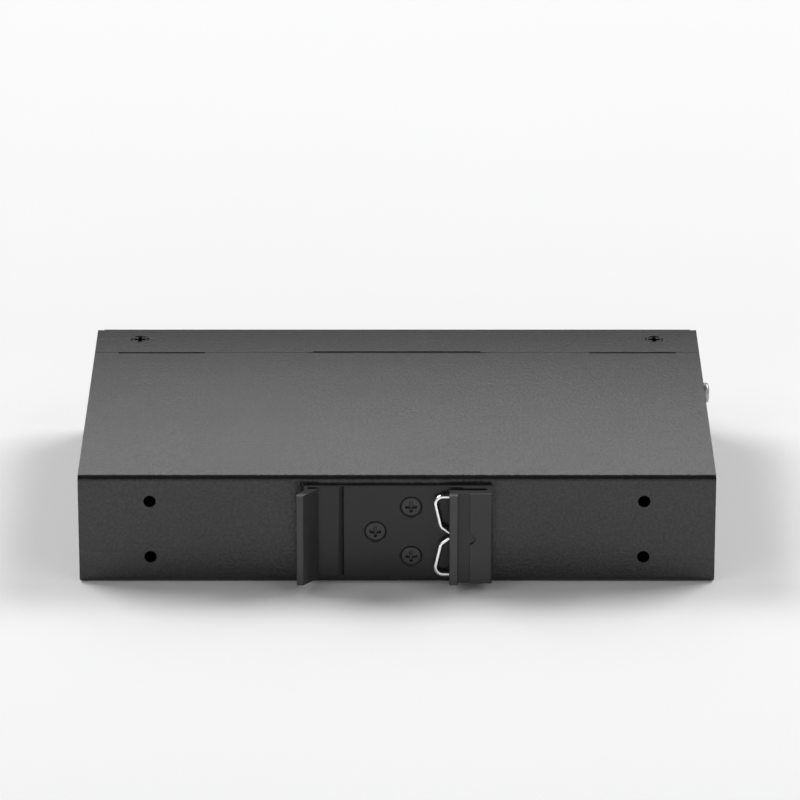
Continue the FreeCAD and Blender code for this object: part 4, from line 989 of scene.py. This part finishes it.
class CONVERTER_OT_stage(bpy.types.Operator):
    """Lay the floor, light the case and set up the camera"""

    bl_idname = "converter.stage"
    bl_label = "Stage"

    FLOOR_RADIUS = 4.0
    VIEW_END = 20.0
    LAMP_SIZE = (1.8, 1.4)
    REAR_LAMPS = (1.80, 1.14, 2.10)
    FRONT_LAMPS = (1.86, -1.35, 1.92)
    PANEL_SIZE = (1.2, 0.095)
    PANEL_SPOT = (0.0, 0.17, 0.14)
    PANEL_SPREAD = math.radians(70)
    PANEL_AIM = (0.0, -0.075, 0.0277)
    BAND_TOP = math.sin(math.radians(25))
    BAND_END = math.sin(math.radians(38))
    SIDE_START = 0.35
    SIDE_END = 0.75

    def lay_floor(self, settings):
        """A plain pale floor that isn't part of the object."""
        mesh = bmesh.new()
        bmesh.ops.create_circle(mesh, cap_ends=True, radius=self.FLOOR_RADIUS, segments=ROUND_STEPS)
        data = bpy.data.meshes.new("floor")
        mesh.to_mesh(data)
        mesh.free()
        data.materials.append(finish("Floor", settings.floor, 0.9, tone=0.005, gloss=0.02, patch=0.2,
                                     sockets={"Specular IOR Level": 0.0}))
        floor = bpy.data.objects.new("floor", data)
        bpy.context.scene.collection.objects.link(floor)

    def hang_lamp(self, name, watts, spot, size, aim=Vector(), spread=math.pi):
        """A soft rectangular lamp that the camera doesn't see."""
        data = bpy.data.lights.new(name, "AREA")
        data.shape = "RECTANGLE"
        data.size, data.size_y = size
        data.energy = watts
        data.spread = spread
        lamp = bpy.data.objects.new(name, data)
        lamp.location = spot
        lamp.rotation_euler = (aim - spot).to_track_quat("-Z", "Y").to_euler()
        lamp.visible_camera = False
        bpy.context.scene.collection.objects.link(lamp)

    def light_walls(self, settings):
        """A studio of four plain walls under a dark ceiling."""
        world = bpy.data.worlds.new("Studio")
        world.use_nodes = True
        world.node_tree.nodes.clear()
        tree = Tree(world.node_tree)
        look = tree.axes(tree.add("ShaderNodeTexCoord").outputs["Generated"])
        ends = tree.mix(tree.maths("GREATER_THAN", look["Y"], 0.0), (*settings.front_wall, 1.0),
                        (*settings.back_wall, 1.0))
        facing_end = tree.spread(tree.maths("ABSOLUTE", look["Y"]), self.SIDE_START, self.SIDE_END,
                                 0.0, 1.0)
        walls = tree.mix(facing_end, (*settings.side_walls, 1.0), ends)
        height = tree.add("ShaderNodeMapRange", {
            "Value": look["Z"], "From Min": self.BAND_TOP, "From Max": self.BAND_END,
            "To Min": 0.0, "To Max": 1.0}, interpolation_type="SMOOTHSTEP").outputs["Result"]
        light = tree.mix(height, walls, (*settings.ceiling, 1.0))
        shader = tree.add("ShaderNodeBackground", {"Color": light, "Strength": 1.0})
        tree.add("ShaderNodeOutputWorld", {"Surface": shader.outputs["Background"]})
        bpy.context.scene.world = world

    def stand_camera(self, scene, settings):
        """A camera at the photograph's place and angle."""
        data = bpy.data.cameras.new("camera")
        data.lens = settings.lens
        data.clip_end = self.VIEW_END
        camera = bpy.data.objects.new("camera", data)
        camera.location = settings.camera
        camera.rotation_euler = (math.radians(90) - settings.elevation, 0.0, 0.0)
        scene.collection.objects.link(camera)
        scene.camera = camera

    def execute(self, context):
        scene = context.scene
        settings = scene.converter_stage
        self.lay_floor(settings)
        pairs = (("rear", settings.rear_lamps, self.REAR_LAMPS),
                 ("front", settings.front_lamps, self.FRONT_LAMPS))
        for name, watts, (x, y, z) in pairs:
            self.hang_lamp(f"{name}_lamp_left", watts, Vector((-x, y, z)), self.LAMP_SIZE)
            self.hang_lamp(f"{name}_lamp_right", watts, Vector((x, y, z)), self.LAMP_SIZE)
        self.hang_lamp("panel_behind", settings.panel, Vector(self.PANEL_SPOT), self.PANEL_SIZE,
                       Vector(self.PANEL_AIM), self.PANEL_SPREAD)
        self.light_walls(settings)
        self.stand_camera(scene, settings)
        scene.view_settings.view_transform = "Standard"
        return {"FINISHED"}


class CONVERTER_PT_sidebar(bpy.types.Panel):
    """Lists the steps that finish the converter"""

    bl_idname = "CONVERTER_PT_sidebar"
    bl_label = "Media converter"
    bl_space_type = "VIEW_3D"
    bl_region_type = "UI"
    bl_category = "Converter"

    def draw(self, context):
        for step in STEPS:
            self.layout.operator(step.bl_idname)


SETTINGS = {
    "converter_case": CaseSettings,
    "converter_metals": MetalSettings,
    "converter_mouldings": MouldingSettings,
    "converter_screws": ScrewSettings,
    "converter_stage": StageSettings,
}
STEPS = (
    CONVERTER_OT_case,
    CONVERTER_OT_rail_clip,
    CONVERTER_OT_case_screws,
    CONVERTER_OT_wall_holes,
    CONVERTER_OT_earth_screw,
    CONVERTER_OT_ports,
    CONVERTER_OT_terminal,
    CONVERTER_OT_board,
    CONVERTER_OT_stage,
)
CLASSES = (*SETTINGS.values(), *STEPS, CONVERTER_PT_sidebar)


def register():
    for item in CLASSES:
        bpy.utils.register_class(item)
    for name, item in SETTINGS.items():
        setattr(bpy.types.Scene, name, PointerProperty(type=item))


def unregister():
    for name in SETTINGS:
        delattr(bpy.types.Scene, name)
    for item in reversed(CLASSES):
        bpy.utils.unregister_class(item)


def main():
    """Register the add-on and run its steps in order."""
    register()
    for step in STEPS:
        group, name = step.bl_idname.split(".")
        getattr(getattr(bpy.ops, group), name)()


if __name__ == "__main__":
    main()
